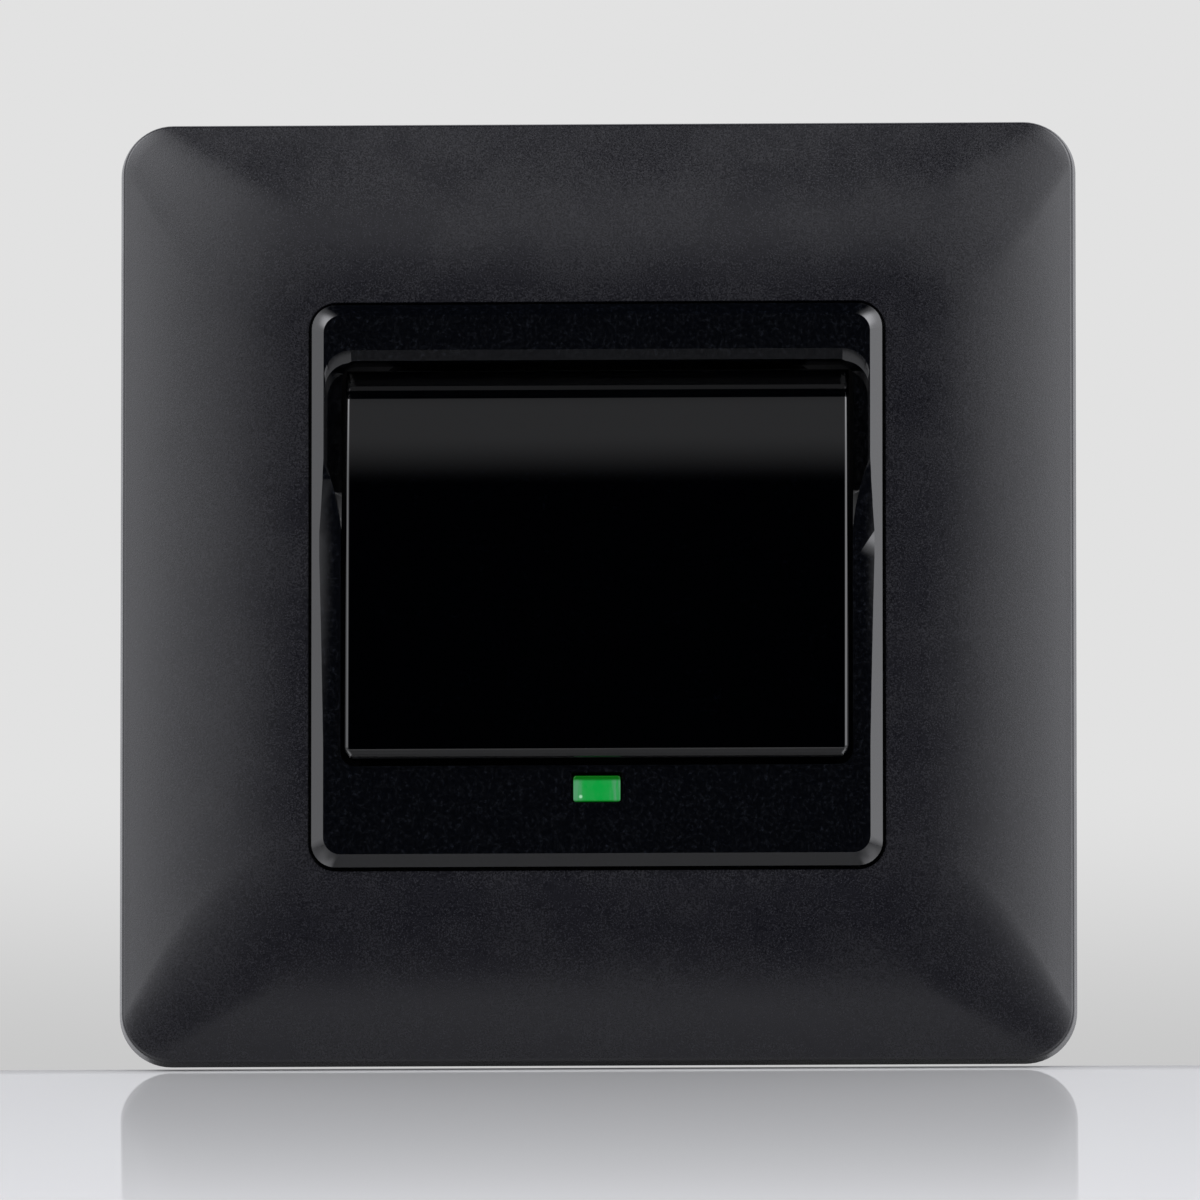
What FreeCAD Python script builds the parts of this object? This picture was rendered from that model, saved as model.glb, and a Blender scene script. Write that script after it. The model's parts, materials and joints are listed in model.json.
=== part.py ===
import FreeCAD, Part
import math
import os

# Wall switch with a tilting paddle and a radio relay module behind it.
# X is to the right, Z is up and the wall's surface is the plane y = 0.
# Pieces in front of the wall have a negative y, and the module behind it a positive y.
# A depth named front_ or ending in _depth below is counted from the wall towards the user.

V = FreeCAD.Vector

# Outer frame
frame_size = 86.0
frame_corner_r = 4.7
frame_rim_depth = 1.1
frame_rim_draft = 0.2
frame_edge_round = 0.3
frame_crown_depth = 4.4
frame_wall = 1.3
frame_ridge_r = 9.0
frame_gap = 0.33
frame_opening_round = 0.35
frame_levels = 12
frame_ledge_width = 1.4
frame_ledge_back = 1.4
frame_ledge_front = 2.2

# Centre plate
plate_size = 51.4
plate_corner_r = 2.2
plate_edge_depth = 4.8
plate_face_depth = 5.5
plate_bevel = 1.07
plate_wall = 1.4
plate_skin = 1.5
plate_inner_round = 0.4
plate_seat_gap = 0.05

# Finger scoop round the upper half of the paddle. A margin is counted in from the plate's edge.
scoop_top_margin = 4.25
scoop_start_above_pivot = 1.05
scoop_flare_length = 9.0
scoop_plate_border = 0.05
scoop_floor_r = 60.0
scoop_runout = 1.5
scoop_side_draft = 0.9
scoop_corner_r = 1.6
scoop_floor_depth = 2.25
scoop_bevel_height = 1.1
scoop_bevel_drop = 0.42
scoop_bow_share = 0.3
scoop_bow_height = 0.62

# Paddle, drawn level and then tilted about its pivot
pivot_depth = 3.0
half_travel_deg = 3.1
paddle_side_margin = 3.0
paddle_top_margin = 5.65
paddle_bottom_margin = 9.55
paddle_face_depth = 5.8
paddle_back_depth = 3.25
paddle_wall = 1.4
paddle_bevel_height = 2.7
paddle_bevel_lip = 0.25
paddle_brow_drop = 0.75
paddle_brow_height = 0.9
paddle_land_drop = 0.17
paddle_land_height = 0.45
paddle_crown_height = 8.2
paddle_crown_r = 62.0
paddle_corner_r = 0.7
paddle_edge_r = 0.45
paddle_side_gap = 0.4
paddle_end_gap = 0.3
paddle_rib = 1.0
paddle_rib_x = 7.0
paddle_root = 0.4

# Status window
window_width = 4.6
window_height = 2.65
window_margin = 7.08
window_corner_r = 0.25
window_bevel_size = 0.2
lens_recess = 0.3
lens_gap = 0.05
lens_flange = 0.9
lens_flange_thick = 0.9
pipe_width = 2.4
pipe_height = 1.8
pipe_collar = 0.7
pipe_gap = 0.15

# Steel support plate
support_thick = 1.2
support_margin = 5.5
support_corner_r = 5.0
support_hole_gap = 0.2
fixing_spacing = 60.0
fixing_hole_r = 2.0
fixing_slot_length = 8.0
stiffener_x = 29.5
stiffener_z = 20.0
stiffener_width = 1.8
stiffener_length = 10.0
stiffener_rise = 0.4

# Housing behind the wall, in two halves
module_inset = 3.1
tub_corner_r = 8.0
tub_wall = 1.0
tub_flange = 1.5
tub_flange_r = 3.0
tub_flange_thick = 0.8
divider_front = 8.4
divider_thick = 1.2
catch_thick = 0.6
catch_height = 12.0
catch_end = 2.4
catch_seat_gap = 0.1
housing_end = 28.0
housing_wall = 1.2
vent_count = 5
vent_pitch = 3.0
vent_width = 1.2
vent_low = 2.0
vent_high = 12.0
fence_thick = 1.0
weld = 0.2

# Paddle carrier, axle and plunger
axle_r = 0.75
axle_overhang = 0.5
axle_running_gap = 0.04
axle_press_gap = 0.01
post_thick = 2.0
post_wall_gap = 1.6
post_height = 5.0
post_cap = 0.35
carrier_hub_r = 1.25
carrier_end_gap = 0.3
carrier_clip_gap = 0.05
barrel_r = 2.4
barrel_end = 3.0
barrel_bore_r = 1.55
barrel_bore_start = -1.6
plunger_r = 1.5
plunger_stem_r = 0.7
plunger_nose_r = 1.2
plunger_reach = 8.0
plunger_head_length = 1.6
plunger_neck = 1.0
plunger_stem = 1.4
spring_wire_r = 0.15
spring_wire_sides = 5
spring_end_gap = 0.03
spring_turns = 4
clip_x = 12.0
clip_width = 4.0
clip_thick = 1.0
clip_reach = 1.6
clip_nose = 0.35
web_thick = 1.2
gusset_width = 12.0
gusset_thick = 1.2
gusset_end = 3.4

# Legs of the centre plate, which snap into the tub's windows
leg_corner_gap = 0.6
leg_width = 4.0
leg_thick = 0.8
leg_gap = 0.1
leg_end = 3.4
leg_nose = 0.7
leg_nose_start = 1.6
leg_window_gap = 0.3

# Changeover contact
seesaw_pivot_y = 6.0
seesaw_front = 5.1
seesaw_half_deg = 5.0
seesaw_half_length = 8.2
seesaw_width = 3.4
seesaw_thick = 0.5
seesaw_tip_z = 7.2
tip_r = 1.1
tip_thick = 0.5
tip_rest_gap = 0.04
strip_thick = 0.5
strip_width = 3.6
strip_slot_gap = 0.1
tail_offset = 3.0
knife_pin_r = 0.5
knife_pin_overhang = 0.35
knife_gap = 0.04
contact_post = 1.2
contact_foot = 3.2
contact_foot_thick = 0.4
ear_r = 1.15
ear_thick = 0.5
ear_side_gap = 0.15

# Circuit board and what stands on it
board_front = 11.2
board_thick = 1.6
board_side_gap = 0.9
board_corner_cut = 6.2
boss_r = 2.2
boss_margin = 4.6
boss_length = 4.5
screw_r = 0.9
screw_head_r = 1.7
screw_head_thick = 1.1
screw_clearance = 0.2
screw_sink = 0.5
screw_tip_gap = 0.3
screw_bite_gap = 0.01
board_gap = 0.05
seat_width = 2.2
seat_height = 6.0
seat_thick = 1.95

# Places on the board, as shares of half its width from its middle, and heights above it
relay_left, relay_right, relay_low, relay_high = -0.889, -0.261, -0.367, 0.599
relay_height = 12.3
relay_stand = 0.3
relay_foot = 1.0
core_left, core_right, core_low, core_high = -0.222, 0.309, -0.348, 0.280
core_height = 11.2
core_stand = 1.2
bobbin_inset = 1.0
bobbin_reach = 1.2
winding_r_share = 0.27
capacitor_place = 0.609
capacitor_low, capacitor_high = -0.193, 0.222
capacitor_r_share = 0.188
capacitor_height = 11.1
radio_left, radio_right, radio_low, radio_high = -0.222, 0.676, 0.454, 0.966
radio_thick = 0.8
shield_inset = 0.9
shield_right = 0.415
shield_height = 2.4
fuse_left, fuse_right, fuse_place = -0.705, -0.319, 0.754
fuse_r = 1.7
varistor_left, varistor_right, varistor_place = 0.831, 0.957, 0.464
varistor_r = 3.4
lead_r = 0.35
led_width = 2.8
led_height = 2.2
led_thick = 1.2
led_gap = 0.1
part_corner_r = 0.5
part_stand = 0.1

# Terminals in a row along the bottom edge
terminal_row_margin = 5.1
terminal_count = 4
terminal_gap = 2.0
terminal_edge_margin = 7.0
terminal_height = 7.0
terminal_front = 14.6
terminal_end = 24.4
terminal_wall = 0.9
terminal_foot = 2.4
terminal_screw_r = 1.25
terminal_head_r = 2.1
terminal_head_thick = 1.5
terminal_head_stand = 1.0
terminal_shank = 4.6
terminal_slot = 0.7
terminal_slot_depth = 0.6
pad_thick = 0.8
pad_height = 5.2
wire_hole_r = 1.6
wire_hole_y = 19.6


def box(x0, x1, y0, y1, z0, z1):
    return Part.makeBox(x1 - x0, y1 - y0, z1 - z0, V(x0, y0, z0))


def rod(start, direction, length, radius):
    return Part.makeCylinder(radius, length, V(*start), V(*direction))


def join(shapes):
    whole = shapes[0]
    for shape in shapes[1:]:
        whole = whole.fuse(shape)
    return whole.removeSplitter()


def cut(shape, tools):
    for tool in tools:
        shape = shape.cut(tool)
    return shape


def round_outline(x0, x1, z0, z1, radius, y):
    """Closed rectangle with round corners in the plane of the given y."""
    turn = radius * (1 - math.sqrt(0.5))
    corners = [
        ((x1 - radius, z0), (x1 - turn, z0 + turn), (x1, z0 + radius)),
        ((x1, z1 - radius), (x1 - turn, z1 - turn), (x1 - radius, z1)),
        ((x0 + radius, z1), (x0 + turn, z1 - turn), (x0, z1 - radius)),
        ((x0, z0 + radius), (x0 + turn, z0 + turn), (x0 + radius, z0)),
    ]
    edges = []
    last = (x0 + radius, z0)
    for start, middle, end in corners:
        edges.append(Part.LineSegment(V(last[0], y, last[1]), V(start[0], y, start[1])).toShape())
        arc = Part.Arc(V(start[0], y, start[1]), V(middle[0], y, middle[1]), V(end[0], y, end[1]))
        edges.append(arc.toShape())
        last = end
    return Part.Wire(edges)


def square_outline(size, radius, y):
    half = size / 2
    return round_outline(-half, half, -half, half, radius, y)


def round_prism(x0, x1, z0, z1, radius, y0, y1):
    face = Part.Face(round_outline(x0, x1, z0, z1, radius, y0))
    return face.extrude(V(0, y1 - y0, 0))


def square_prism(size, radius, y0, y1):
    half = size / 2
    return round_prism(-half, half, -half, half, radius, y0, y1)


def loft(wires, ruled=True):
    return Part.makeLoft(wires, True, ruled)


def side_profile(points, x0, x1):
    """Solid from a closed outline in the YZ plane, extruded from x0 to x1."""
    face = Part.Face(Part.makePolygon([V(x0, y, z) for y, z in points + points[:1]]))
    return face.extrude(V(x1 - x0, 0, 0))


def tilted(shape, degrees):
    """Turned about the paddle's pivot, top towards the user when positive."""
    turned = shape.copy()
    turned.rotate(V(0, -pivot_depth, pivot_z), V(1, 0, 0), degrees)
    return turned


def at_rest(shape):
    """The photographed rest: the paddle's top is pressed in."""
    return tilted(shape, -half_travel_deg)


# Values shared by pieces that mate
opening_size = plate_size + 2 * frame_gap
opening_corner_r = plate_corner_r + frame_gap
support_size = fixing_spacing + 2 * support_margin
plate_half = plate_size / 2
plate_inner = plate_size - 2 * plate_wall
paddle_width = plate_size - 2 * paddle_side_margin
paddle_top_z = plate_half - paddle_top_margin
paddle_bottom_z = paddle_bottom_margin - plate_half
pivot_z = (paddle_top_z + paddle_bottom_z) / 2
crease_z = paddle_top_z - paddle_bevel_height
crown_start_z = crease_z - paddle_crown_height
swing_z = (paddle_face_depth - pivot_depth) * math.sin(math.radians(half_travel_deg))
hole_half_width = paddle_width / 2 + paddle_side_gap
hole_top_z = paddle_top_z + swing_z + paddle_end_gap
hole_bottom_z = paddle_bottom_z - swing_z - paddle_end_gap
scoop_top_z = plate_half - scoop_top_margin
scoop_start_z = pivot_z + scoop_start_above_pivot
window_z = window_margin - plate_half
tub_size = plate_size - 2 * module_inset
tub_half = tub_size / 2
tub_inner_half = tub_half - tub_wall
flange_size = tub_size + 2 * tub_flange
flange_front = -support_thick - tub_flange_thick
divider_end = divider_front + divider_thick
post_x = tub_inner_half - post_wall_gap - post_thick
axle_half_length = post_x + post_thick + axle_overhang
leg_x = tub_half - tub_corner_r - leg_width / 2 - leg_corner_gap
leg_outer = tub_inner_half - leg_gap
clip_z = carrier_hub_r + clip_reach
board_size = 2 * (tub_inner_half - board_side_gap)
board_half = board_size / 2
board_end = board_front + board_thick
boss_place = tub_half - boss_margin
screw_places = [(x, z) for x in (-boss_place, boss_place) for z in (-boss_place, boss_place)]
terminal_pitch = (board_size - 2 * terminal_row_margin) / terminal_count
terminal_width = terminal_pitch - terminal_gap
terminal_z = terminal_edge_margin - tub_half
terminal_x = [(i - (terminal_count - 1) / 2) * terminal_pitch for i in range(terminal_count)]
nose_centre = plunger_reach - pivot_depth - plunger_nose_r
head_start = nose_centre - plunger_neck - plunger_head_length
tail_reach = seesaw_half_length + tail_offset
tail_places = [pivot_z - tail_reach, pivot_z, pivot_z + tail_reach]


def on_board(share):
    """Place or size on the board, from a share of half its width."""
    return share * board_half


def crown_depth(inset):
    """Depth of the pillow-shaped frame, at a distance in from its edge."""
    reach = (frame_size - opening_size) / 2
    share = (reach - inset) / reach
    start = frame_rim_depth + frame_edge_round
    return start + (frame_crown_depth - start) * (1 - share * share)


def crown_radius(inset):
    """Corner radius of the frame's level line: it swells between rim and opening."""
    reach = (frame_size - opening_size) / 2
    share = inset / reach
    straight = frame_corner_r + (opening_corner_r - frame_corner_r) * share
    return straight + (frame_ridge_r - frame_corner_r) * math.sin(math.pi * share)


def outer_frame():
    reach = (frame_size - opening_size) / 2
    rim_inset = frame_rim_draft + frame_edge_round
    levels = [
        square_outline(frame_size, frame_corner_r, 0),
        square_outline(frame_size - 2 * frame_rim_draft, frame_corner_r - frame_rim_draft, -frame_rim_depth),
        square_outline(frame_size - 2 * rim_inset, frame_corner_r - rim_inset, -crown_depth(rim_inset)),
    ]
    last = reach - frame_opening_round
    for i in range(1, frame_levels + 1):
        inset = rim_inset + (last - rim_inset) * i / frame_levels
        levels.append(square_outline(frame_size - 2 * inset, crown_radius(inset), -crown_depth(inset)))
    lip = frame_opening_round * 0.7 - frame_crown_depth
    levels.append(square_outline(opening_size, opening_corner_r, lip))
    shell = loft(levels)
    hollow_levels = [square_outline(frame_size - 2 * frame_wall, frame_corner_r - frame_wall, 0)]
    for share in (0, 0.5, 1):
        inset = frame_wall + (reach - frame_wall) * share
        radius = frame_corner_r - frame_wall + (opening_corner_r + frame_wall - frame_corner_r) * share
        hollow_levels.append(square_outline(frame_size - 2 * inset, radius, frame_wall - crown_depth(inset)))
    hollow = loft(hollow_levels)
    collar_size = opening_size + 2 * frame_wall
    collar_r = opening_corner_r + frame_wall
    hollow = hollow.cut(square_prism(collar_size, collar_r, -frame_crown_depth, -frame_ledge_back))
    below_collar = square_prism(collar_size + frame_wall, collar_r, -frame_ledge_back, 0)
    opening = square_prism(opening_size, opening_corner_r, -2 * frame_crown_depth, -frame_ledge_front)
    ledge_hole = square_prism(opening_size - 2 * frame_ledge_width, opening_corner_r, -frame_crown_depth, 0)
    return cut(shell, [hollow, below_collar, opening, ledge_hole])


def scoop_outline(side_inset, top_inset, depth):
    """The scoop's outline in the plane of the given depth: narrow below, flaring to its full width."""
    narrow = hole_half_width - side_inset * 0.5
    wide = plate_half - plate_bevel - scoop_plate_border - side_inset
    low = scoop_start_z - scoop_runout / 2
    flare = low + scoop_flare_length
    top = scoop_top_z - top_inset
    radius = scoop_corner_r
    turn = radius * (1 - math.sqrt(0.5))
    bow_x = narrow + (wide - narrow) * scoop_bow_share
    bow_z = low + scoop_flare_length * scoop_bow_height
    y = -depth

    def line(a, b):
        return Part.LineSegment(V(a[0], y, a[1]), V(b[0], y, b[1])).toShape()

    def arc(a, b, c):
        return Part.Arc(V(a[0], y, a[1]), V(b[0], y, b[1]), V(c[0], y, c[1])).toShape()

    return Part.Wire([
        line((-narrow, low), (narrow, low)),
        arc((narrow, low), (bow_x, bow_z), (wide, flare)),
        line((wide, flare), (wide, top - radius)),
        arc((wide, top - radius), (wide - turn, top - turn), (wide - radius, top)),
        line((wide - radius, top), (radius - wide, top)),
        arc((radius - wide, top), (turn - wide, top - turn), (-wide, top - radius)),
        line((-wide, top - radius), (-wide, flare)),
        arc((-wide, flare), (-bow_x, bow_z), (-narrow, low)),
    ])


def scoop_cutter():
    """Space of the finger scoop, in front of its curved floor."""
    deep = loft([
        scoop_outline(0, 0, plate_face_depth + 1),
        scoop_outline(0, 0, plate_face_depth),
        scoop_outline(scoop_side_draft * 0.2, scoop_bevel_height, plate_face_depth - scoop_bevel_drop),
        scoop_outline(scoop_side_draft, scoop_bevel_height + scoop_side_draft, scoop_floor_depth),
    ])
    # The floor's cylinder crosses the plate's face at scoop_start_z, at a slight angle.
    axis_z = scoop_start_z - scoop_runout
    axis_y = math.sqrt(scoop_floor_r ** 2 - scoop_runout ** 2) - plate_face_depth
    floor = rod((-plate_half, axis_y, axis_z), (1, 0, 0), plate_size, scoop_floor_r)
    return deep.cut(floor)


def window_outline(grow, y):
    half_w = window_width / 2 + grow
    half_h = window_height / 2 + grow
    radius = window_corner_r + max(grow, 0)
    return round_outline(-half_w, half_w, window_z - half_h, window_z + half_h, radius, y)


def centre_plate():
    edge = -plate_edge_depth
    face = -plate_face_depth
    back = -(frame_ledge_front + plate_seat_gap)
    under = face + plate_skin
    body = square_prism(plate_size, plate_corner_r, back, edge)
    bevel = loft([
        square_outline(plate_size, plate_corner_r, edge),
        square_outline(plate_size - 2 * plate_bevel, plate_corner_r - plate_bevel * 0.6, face),
    ])
    body = body.fuse(bevel).removeSplitter()
    body = body.cut(square_prism(plate_inner, plate_corner_r - plate_inner_round, back, under))
    # A thick block under the face carries the scoop down past the plate's skin.
    block_half = plate_inner / 2
    block_low = scoop_start_z - scoop_runout
    block = box(-block_half, block_half, under, -scoop_floor_depth, block_low, block_half - plate_inner_round)
    body = body.fuse(block).removeSplitter()
    hole = round_prism(-hole_half_width, hole_half_width, hole_bottom_z, hole_top_z,
                       paddle_corner_r + paddle_end_gap, face - 1, back + 2)
    window = Part.Face(window_outline(0, face - 1)).extrude(V(0, plate_skin + 2, 0))
    bevel_levels = [window_outline(window_bevel_size, face), window_outline(0, face + window_bevel_size)]
    window_bevel = loft(bevel_levels)
    body = cut(body, [hole, scoop_cutter(), window, window_bevel])
    leg_section = [
        (under, leg_outer - leg_thick),
        (under, leg_outer),
        (leg_nose_start - leg_gap, leg_outer),
        (leg_nose_start, leg_outer + leg_nose),
        (leg_end, leg_outer - leg_gap),
        (leg_end, leg_outer - leg_thick),
    ]
    legs = []
    for x in (-leg_x, leg_x):
        leg = side_profile(leg_section, x - leg_width / 2, x + leg_width / 2)
        legs += [leg, leg.mirror(V(0, 0, 0), V(0, 0, 1))]
    return join([body] + legs)


def paddle_outline(shrink=0.0):
    """Side view of the level paddle: flat below, rolled back to its crease, and stepped above it."""
    front = shrink - paddle_face_depth
    back = -paddle_back_depth + (1.0 if shrink else 0.0)
    low = paddle_bottom_z + shrink
    high = paddle_top_z - shrink
    start = crown_start_z
    crease = crease_z - shrink * 0.4
    span = crease - start
    drop = paddle_crown_r - math.sqrt(paddle_crown_r ** 2 - span ** 2)
    half_drop = paddle_crown_r - math.sqrt(paddle_crown_r ** 2 - (span / 2) ** 2)
    points = [(back, high), (back, low), (front, low), (front, start)]
    if shrink:
        brow = [(front + drop, crease), (-paddle_back_depth - paddle_bevel_lip + shrink * 0.6, high)]
    else:
        step_y = front + drop + paddle_brow_drop
        step_z = crease + paddle_brow_height
        brow = [
            (front + drop, crease),
            (step_y, step_z),
            (step_y + paddle_land_drop, step_z + paddle_land_height),
            (-paddle_back_depth - paddle_bevel_lip, high),
        ]
    edges = [Part.LineSegment(V(0, *a), V(0, *b)).toShape() for a, b in zip(points, points[1:])]
    edges.append(Part.Arc(
        V(0, front, start), V(0, front + half_drop, start + span / 2), V(0, front + drop, crease)).toShape())
    edges += [Part.LineSegment(V(0, *a), V(0, *b)).toShape() for a, b in zip(brow, brow[1:] + points[:1])]
    return Part.Wire(edges)


def rocker_paddle():
    half = paddle_width / 2
    solid = Part.Face(paddle_outline()).extrude(V(paddle_width, 0, 0))
    solid.translate(V(-half, 0, 0))
    low_corners = [
        edge for edge in solid.Edges
        if all(abs(abs(v.Point.x) - half) < 0.01 for v in edge.Vertexes)
        and all(abs(v.Point.z - paddle_bottom_z) < 0.01 for v in edge.Vertexes)
    ]
    solid = solid.makeFillet(paddle_corner_r, low_corners)
    rim = []
    for edge in solid.Edges:
        middle = edge.valueAt((edge.FirstParameter + edge.LastParameter) / 2)
        on_front = all(v.Point.y < -paddle_back_depth - paddle_bevel_lip / 2 for v in edge.Vertexes)
        on_side = abs(middle.x) > half - paddle_corner_r
        on_low = middle.z < paddle_bottom_z + paddle_corner_r and middle.y < 0.05 - paddle_face_depth
        if on_front and (on_side or on_low):
            rim.append(edge)
    solid = solid.makeFillet(paddle_edge_r, rim)
    hollow = Part.Face(paddle_outline(paddle_wall)).extrude(V(paddle_width - 2 * paddle_wall, 0, 0))
    hollow.translate(V(-half + paddle_wall, 0, 0))
    solid = solid.cut(hollow)
    root = paddle_wall - paddle_face_depth - paddle_root
    rib_stop = clip_z + clip_thick
    rib_spans = [
        (paddle_bottom_z + paddle_wall / 2, pivot_z - rib_stop),
        (pivot_z + rib_stop, crease_z - paddle_wall),
    ]
    added = []
    for x in (-paddle_rib_x, paddle_rib_x):
        for low, high in rib_spans:
            added.append(box(x - paddle_rib / 2, x + paddle_rib / 2, root, -paddle_back_depth, low, high))
    clip_section = [
        (root, clip_z),
        (root, clip_z + clip_thick),
        (web_thick + 1 - pivot_depth, clip_z + clip_thick),
        (web_thick + 1 - pivot_depth, clip_z),
        (web_thick + 0.4 - pivot_depth, clip_z - clip_nose),
        (web_thick + 0.05 - pivot_depth, clip_z),
    ]
    for x in (-clip_x, clip_x):
        clip = side_profile(clip_section, x - clip_width / 2, x + clip_width / 2)
        for side in (clip, clip.mirror(V(0, 0, 0), V(0, 0, 1))):
            side.translate(V(0, 0, pivot_z))
            added.append(side)
    return at_rest(join([solid] + added))


def rocker_carrier():
    """Moulded cradle clipped behind the paddle, turning on the steel axle."""
    reach = post_x - carrier_end_gap
    y = -pivot_depth
    web_half = clip_z - carrier_clip_gap
    hub = rod((-reach, y, pivot_z), (1, 0, 0), 2 * reach, carrier_hub_r)
    web = box(-reach, reach, y, y + web_thick, pivot_z - web_half, pivot_z + web_half)
    barrel = rod((0, y, pivot_z), (0, 1, 0), barrel_end - y, barrel_r)
    gusset = box(-gusset_width / 2, gusset_width / 2, y + web_thick / 2, y + gusset_end,
                 pivot_z - gusset_thick / 2, pivot_z + gusset_thick / 2)
    body = join([hub, web, barrel, gusset])
    axle_hole = rod((-post_x, y, pivot_z), (1, 0, 0), 2 * post_x, axle_r + axle_running_gap)
    bore = rod((0, barrel_bore_start, pivot_z), (0, 1, 0), barrel_end - barrel_bore_start + 1, barrel_bore_r)
    return at_rest(cut(body, [axle_hole, bore]))


def pivot_axle():
    return rod((-axle_half_length, -pivot_depth, pivot_z), (1, 0, 0), 2 * axle_half_length, axle_r)


def plunger():
    nose = Part.makeSphere(plunger_nose_r, V(0, nose_centre, pivot_z))
    neck = rod((0, nose_centre - plunger_neck, pivot_z), (0, 1, 0), plunger_neck, plunger_nose_r)
    head = rod((0, head_start, pivot_z), (0, 1, 0), plunger_head_length, plunger_r)
    stem = rod((0, head_start - plunger_stem, pivot_z), (0, 1, 0), plunger_stem + weld, plunger_stem_r)
    return at_rest(join([nose, neck, head, stem]))


def plunger_spring():
    """Helical spring between the bottom of the barrel's bore and the plunger's head."""
    radius = (barrel_bore_r + plunger_stem_r) / 2
    start = barrel_bore_start + spring_wire_r + spring_end_gap
    length = head_start - spring_wire_r - spring_end_gap - start
    helix = Part.makeHelix(length / spring_turns, length, radius)
    corners = []
    for i in range(spring_wire_sides + 1):
        angle = 2 * math.pi * i / spring_wire_sides
        corners.append(V(radius + spring_wire_r * math.cos(angle), 0, spring_wire_r * math.sin(angle)))
    coil = Part.Wire(helix.Edges).makePipeShell([Part.makePolygon(corners)], True, True)
    coil.rotate(V(0, 0, 0), V(1, 0, 0), -90)
    coil.translate(V(0, start, pivot_z))
    return at_rest(coil)


def light_pipe_prism(y0, y1, grow=0.0):
    half_w = pipe_width / 2 + grow
    half_h = pipe_height / 2 + grow
    return box(-half_w, half_w, y0, y1, window_z - half_h, window_z + half_h)


def sided(side, near, far):
    """Low and high end of a span given outwards from the middle, on one side of it."""
    return min(side * near, side * far), max(side * near, side * far)


def mechanism_cover():
    """Front half of the housing: an open tub for the paddle's works, closed by a divider."""
    tub = square_prism(tub_size, tub_corner_r, flange_front, divider_end)
    flange = square_prism(flange_size, tub_flange_r, flange_front, -support_thick)
    inner = square_prism(2 * tub_inner_half, tub_corner_r - tub_wall, flange_front - 1, divider_front)
    body = tub.fuse(flange).cut(inner)
    posts = []
    top = -pivot_depth - axle_r - post_cap
    brace_half = post_height / 2 - tub_flange
    for side in (-1, 1):
        low, high = sided(side, post_x, post_x + post_thick)
        posts.append(box(low, high, top, divider_front, pivot_z - post_height / 2, pivot_z + post_height / 2))
        low, high = sided(side, post_x + post_thick, tub_inner_half)
        posts.append(box(low, high, axle_overhang, divider_front, pivot_z - brace_half, pivot_z + brace_half))
    body = join([body] + posts)
    axle_hole = rod((-axle_half_length - weld, -pivot_depth, pivot_z), (1, 0, 0),
                    2 * (axle_half_length + weld), axle_r + axle_press_gap)
    openings = [axle_hole, light_pipe_prism(divider_front - 1, divider_end + 1, pipe_gap)]
    window_half = leg_width / 2 + leg_window_gap
    for x in (-leg_x, leg_x):
        for side in (-1, 1):
            low, high = sided(side, tub_inner_half - 0.5, tub_half + 1)
            openings.append(box(x - window_half, x + window_half, leg_nose_start - leg_window_gap,
                                leg_end + leg_window_gap, low, high))
    slot_half = strip_thick / 2 + strip_slot_gap
    for z in tail_places:
        openings.append(box(-strip_width / 2 - strip_slot_gap, strip_width / 2 + strip_slot_gap,
                            divider_front - 1, divider_end + 1, z - slot_half, z + slot_half))
    body = cut(body, openings)
    # Ramps behind the steel plate hold the module in it.
    added = []
    for side in (-1, 1):
        root = side * (tub_half - weld)
        tip = side * (tub_half + catch_thick)
        section = [V(root, catch_seat_gap, 0), V(tip, catch_seat_gap, 0), V(root, catch_end, 0)]
        ramp = Part.Face(Part.makePolygon(section + section[:1])).extrude(V(0, 0, catch_height))
        ramp.translate(V(0, 0, -catch_height / 2))
        added.append(ramp)
    for x, z in screw_places:
        added.append(rod((x, divider_end - boss_length, z), (0, 1, 0), boss_length, boss_r))
    pilot = boss_length - tub_wall + 1
    pilots = [rod((x, divider_end + 1 - pilot, z), (0, 1, 0), pilot, screw_r) for x, z in screw_places]
    return cut(join([body] + added), pilots)


def tip_back(angle_deg):
    """How deep the far edge of the seesaw's lower tip lies when it is closed."""
    angle = math.radians(angle_deg)
    offset = seesaw_front + seesaw_thick + tip_thick - seesaw_pivot_y
    return seesaw_pivot_y + (seesaw_tip_z + tip_r) * math.sin(angle) + offset * math.cos(angle)


def seesaw_turned(shape):
    turned = shape.copy()
    turned.rotate(V(0, seesaw_pivot_y, pivot_z), V(1, 0, 0), seesaw_half_deg)
    return turned


def contact_seesaw():
    """Springy strip that tips about its ears when the plunger crosses the middle."""
    half = seesaw_width / 2
    strip = box(-half, half, seesaw_front, seesaw_front + seesaw_thick,
                pivot_z - seesaw_half_length, pivot_z + seesaw_half_length)
    ears = []
    for side in (-1, 1):
        low, high = sided(side, half - ear_thick, half)
        ears.append(rod((low, seesaw_pivot_y, pivot_z), (1, 0, 0), high - low, ear_r))
    hole = rod((-seesaw_width, seesaw_pivot_y, pivot_z), (1, 0, 0), 2 * seesaw_width, knife_pin_r + knife_gap)
    return seesaw_turned(join([strip] + ears).cut(hole))


def tip_pair(front):
    """Two round contact tips in line along Z, one at each end of the seesaw."""
    return Part.makeCompound([
        rod((0, front, pivot_z + side * seesaw_tip_z), (0, 1, 0), tip_thick, tip_r) for side in (-1, 1)
    ])


def moving_tips():
    return seesaw_turned(tip_pair(seesaw_front + seesaw_thick))


def fixed_tips():
    return tip_pair(tip_back(seesaw_half_deg) + tip_rest_gap)


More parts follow.
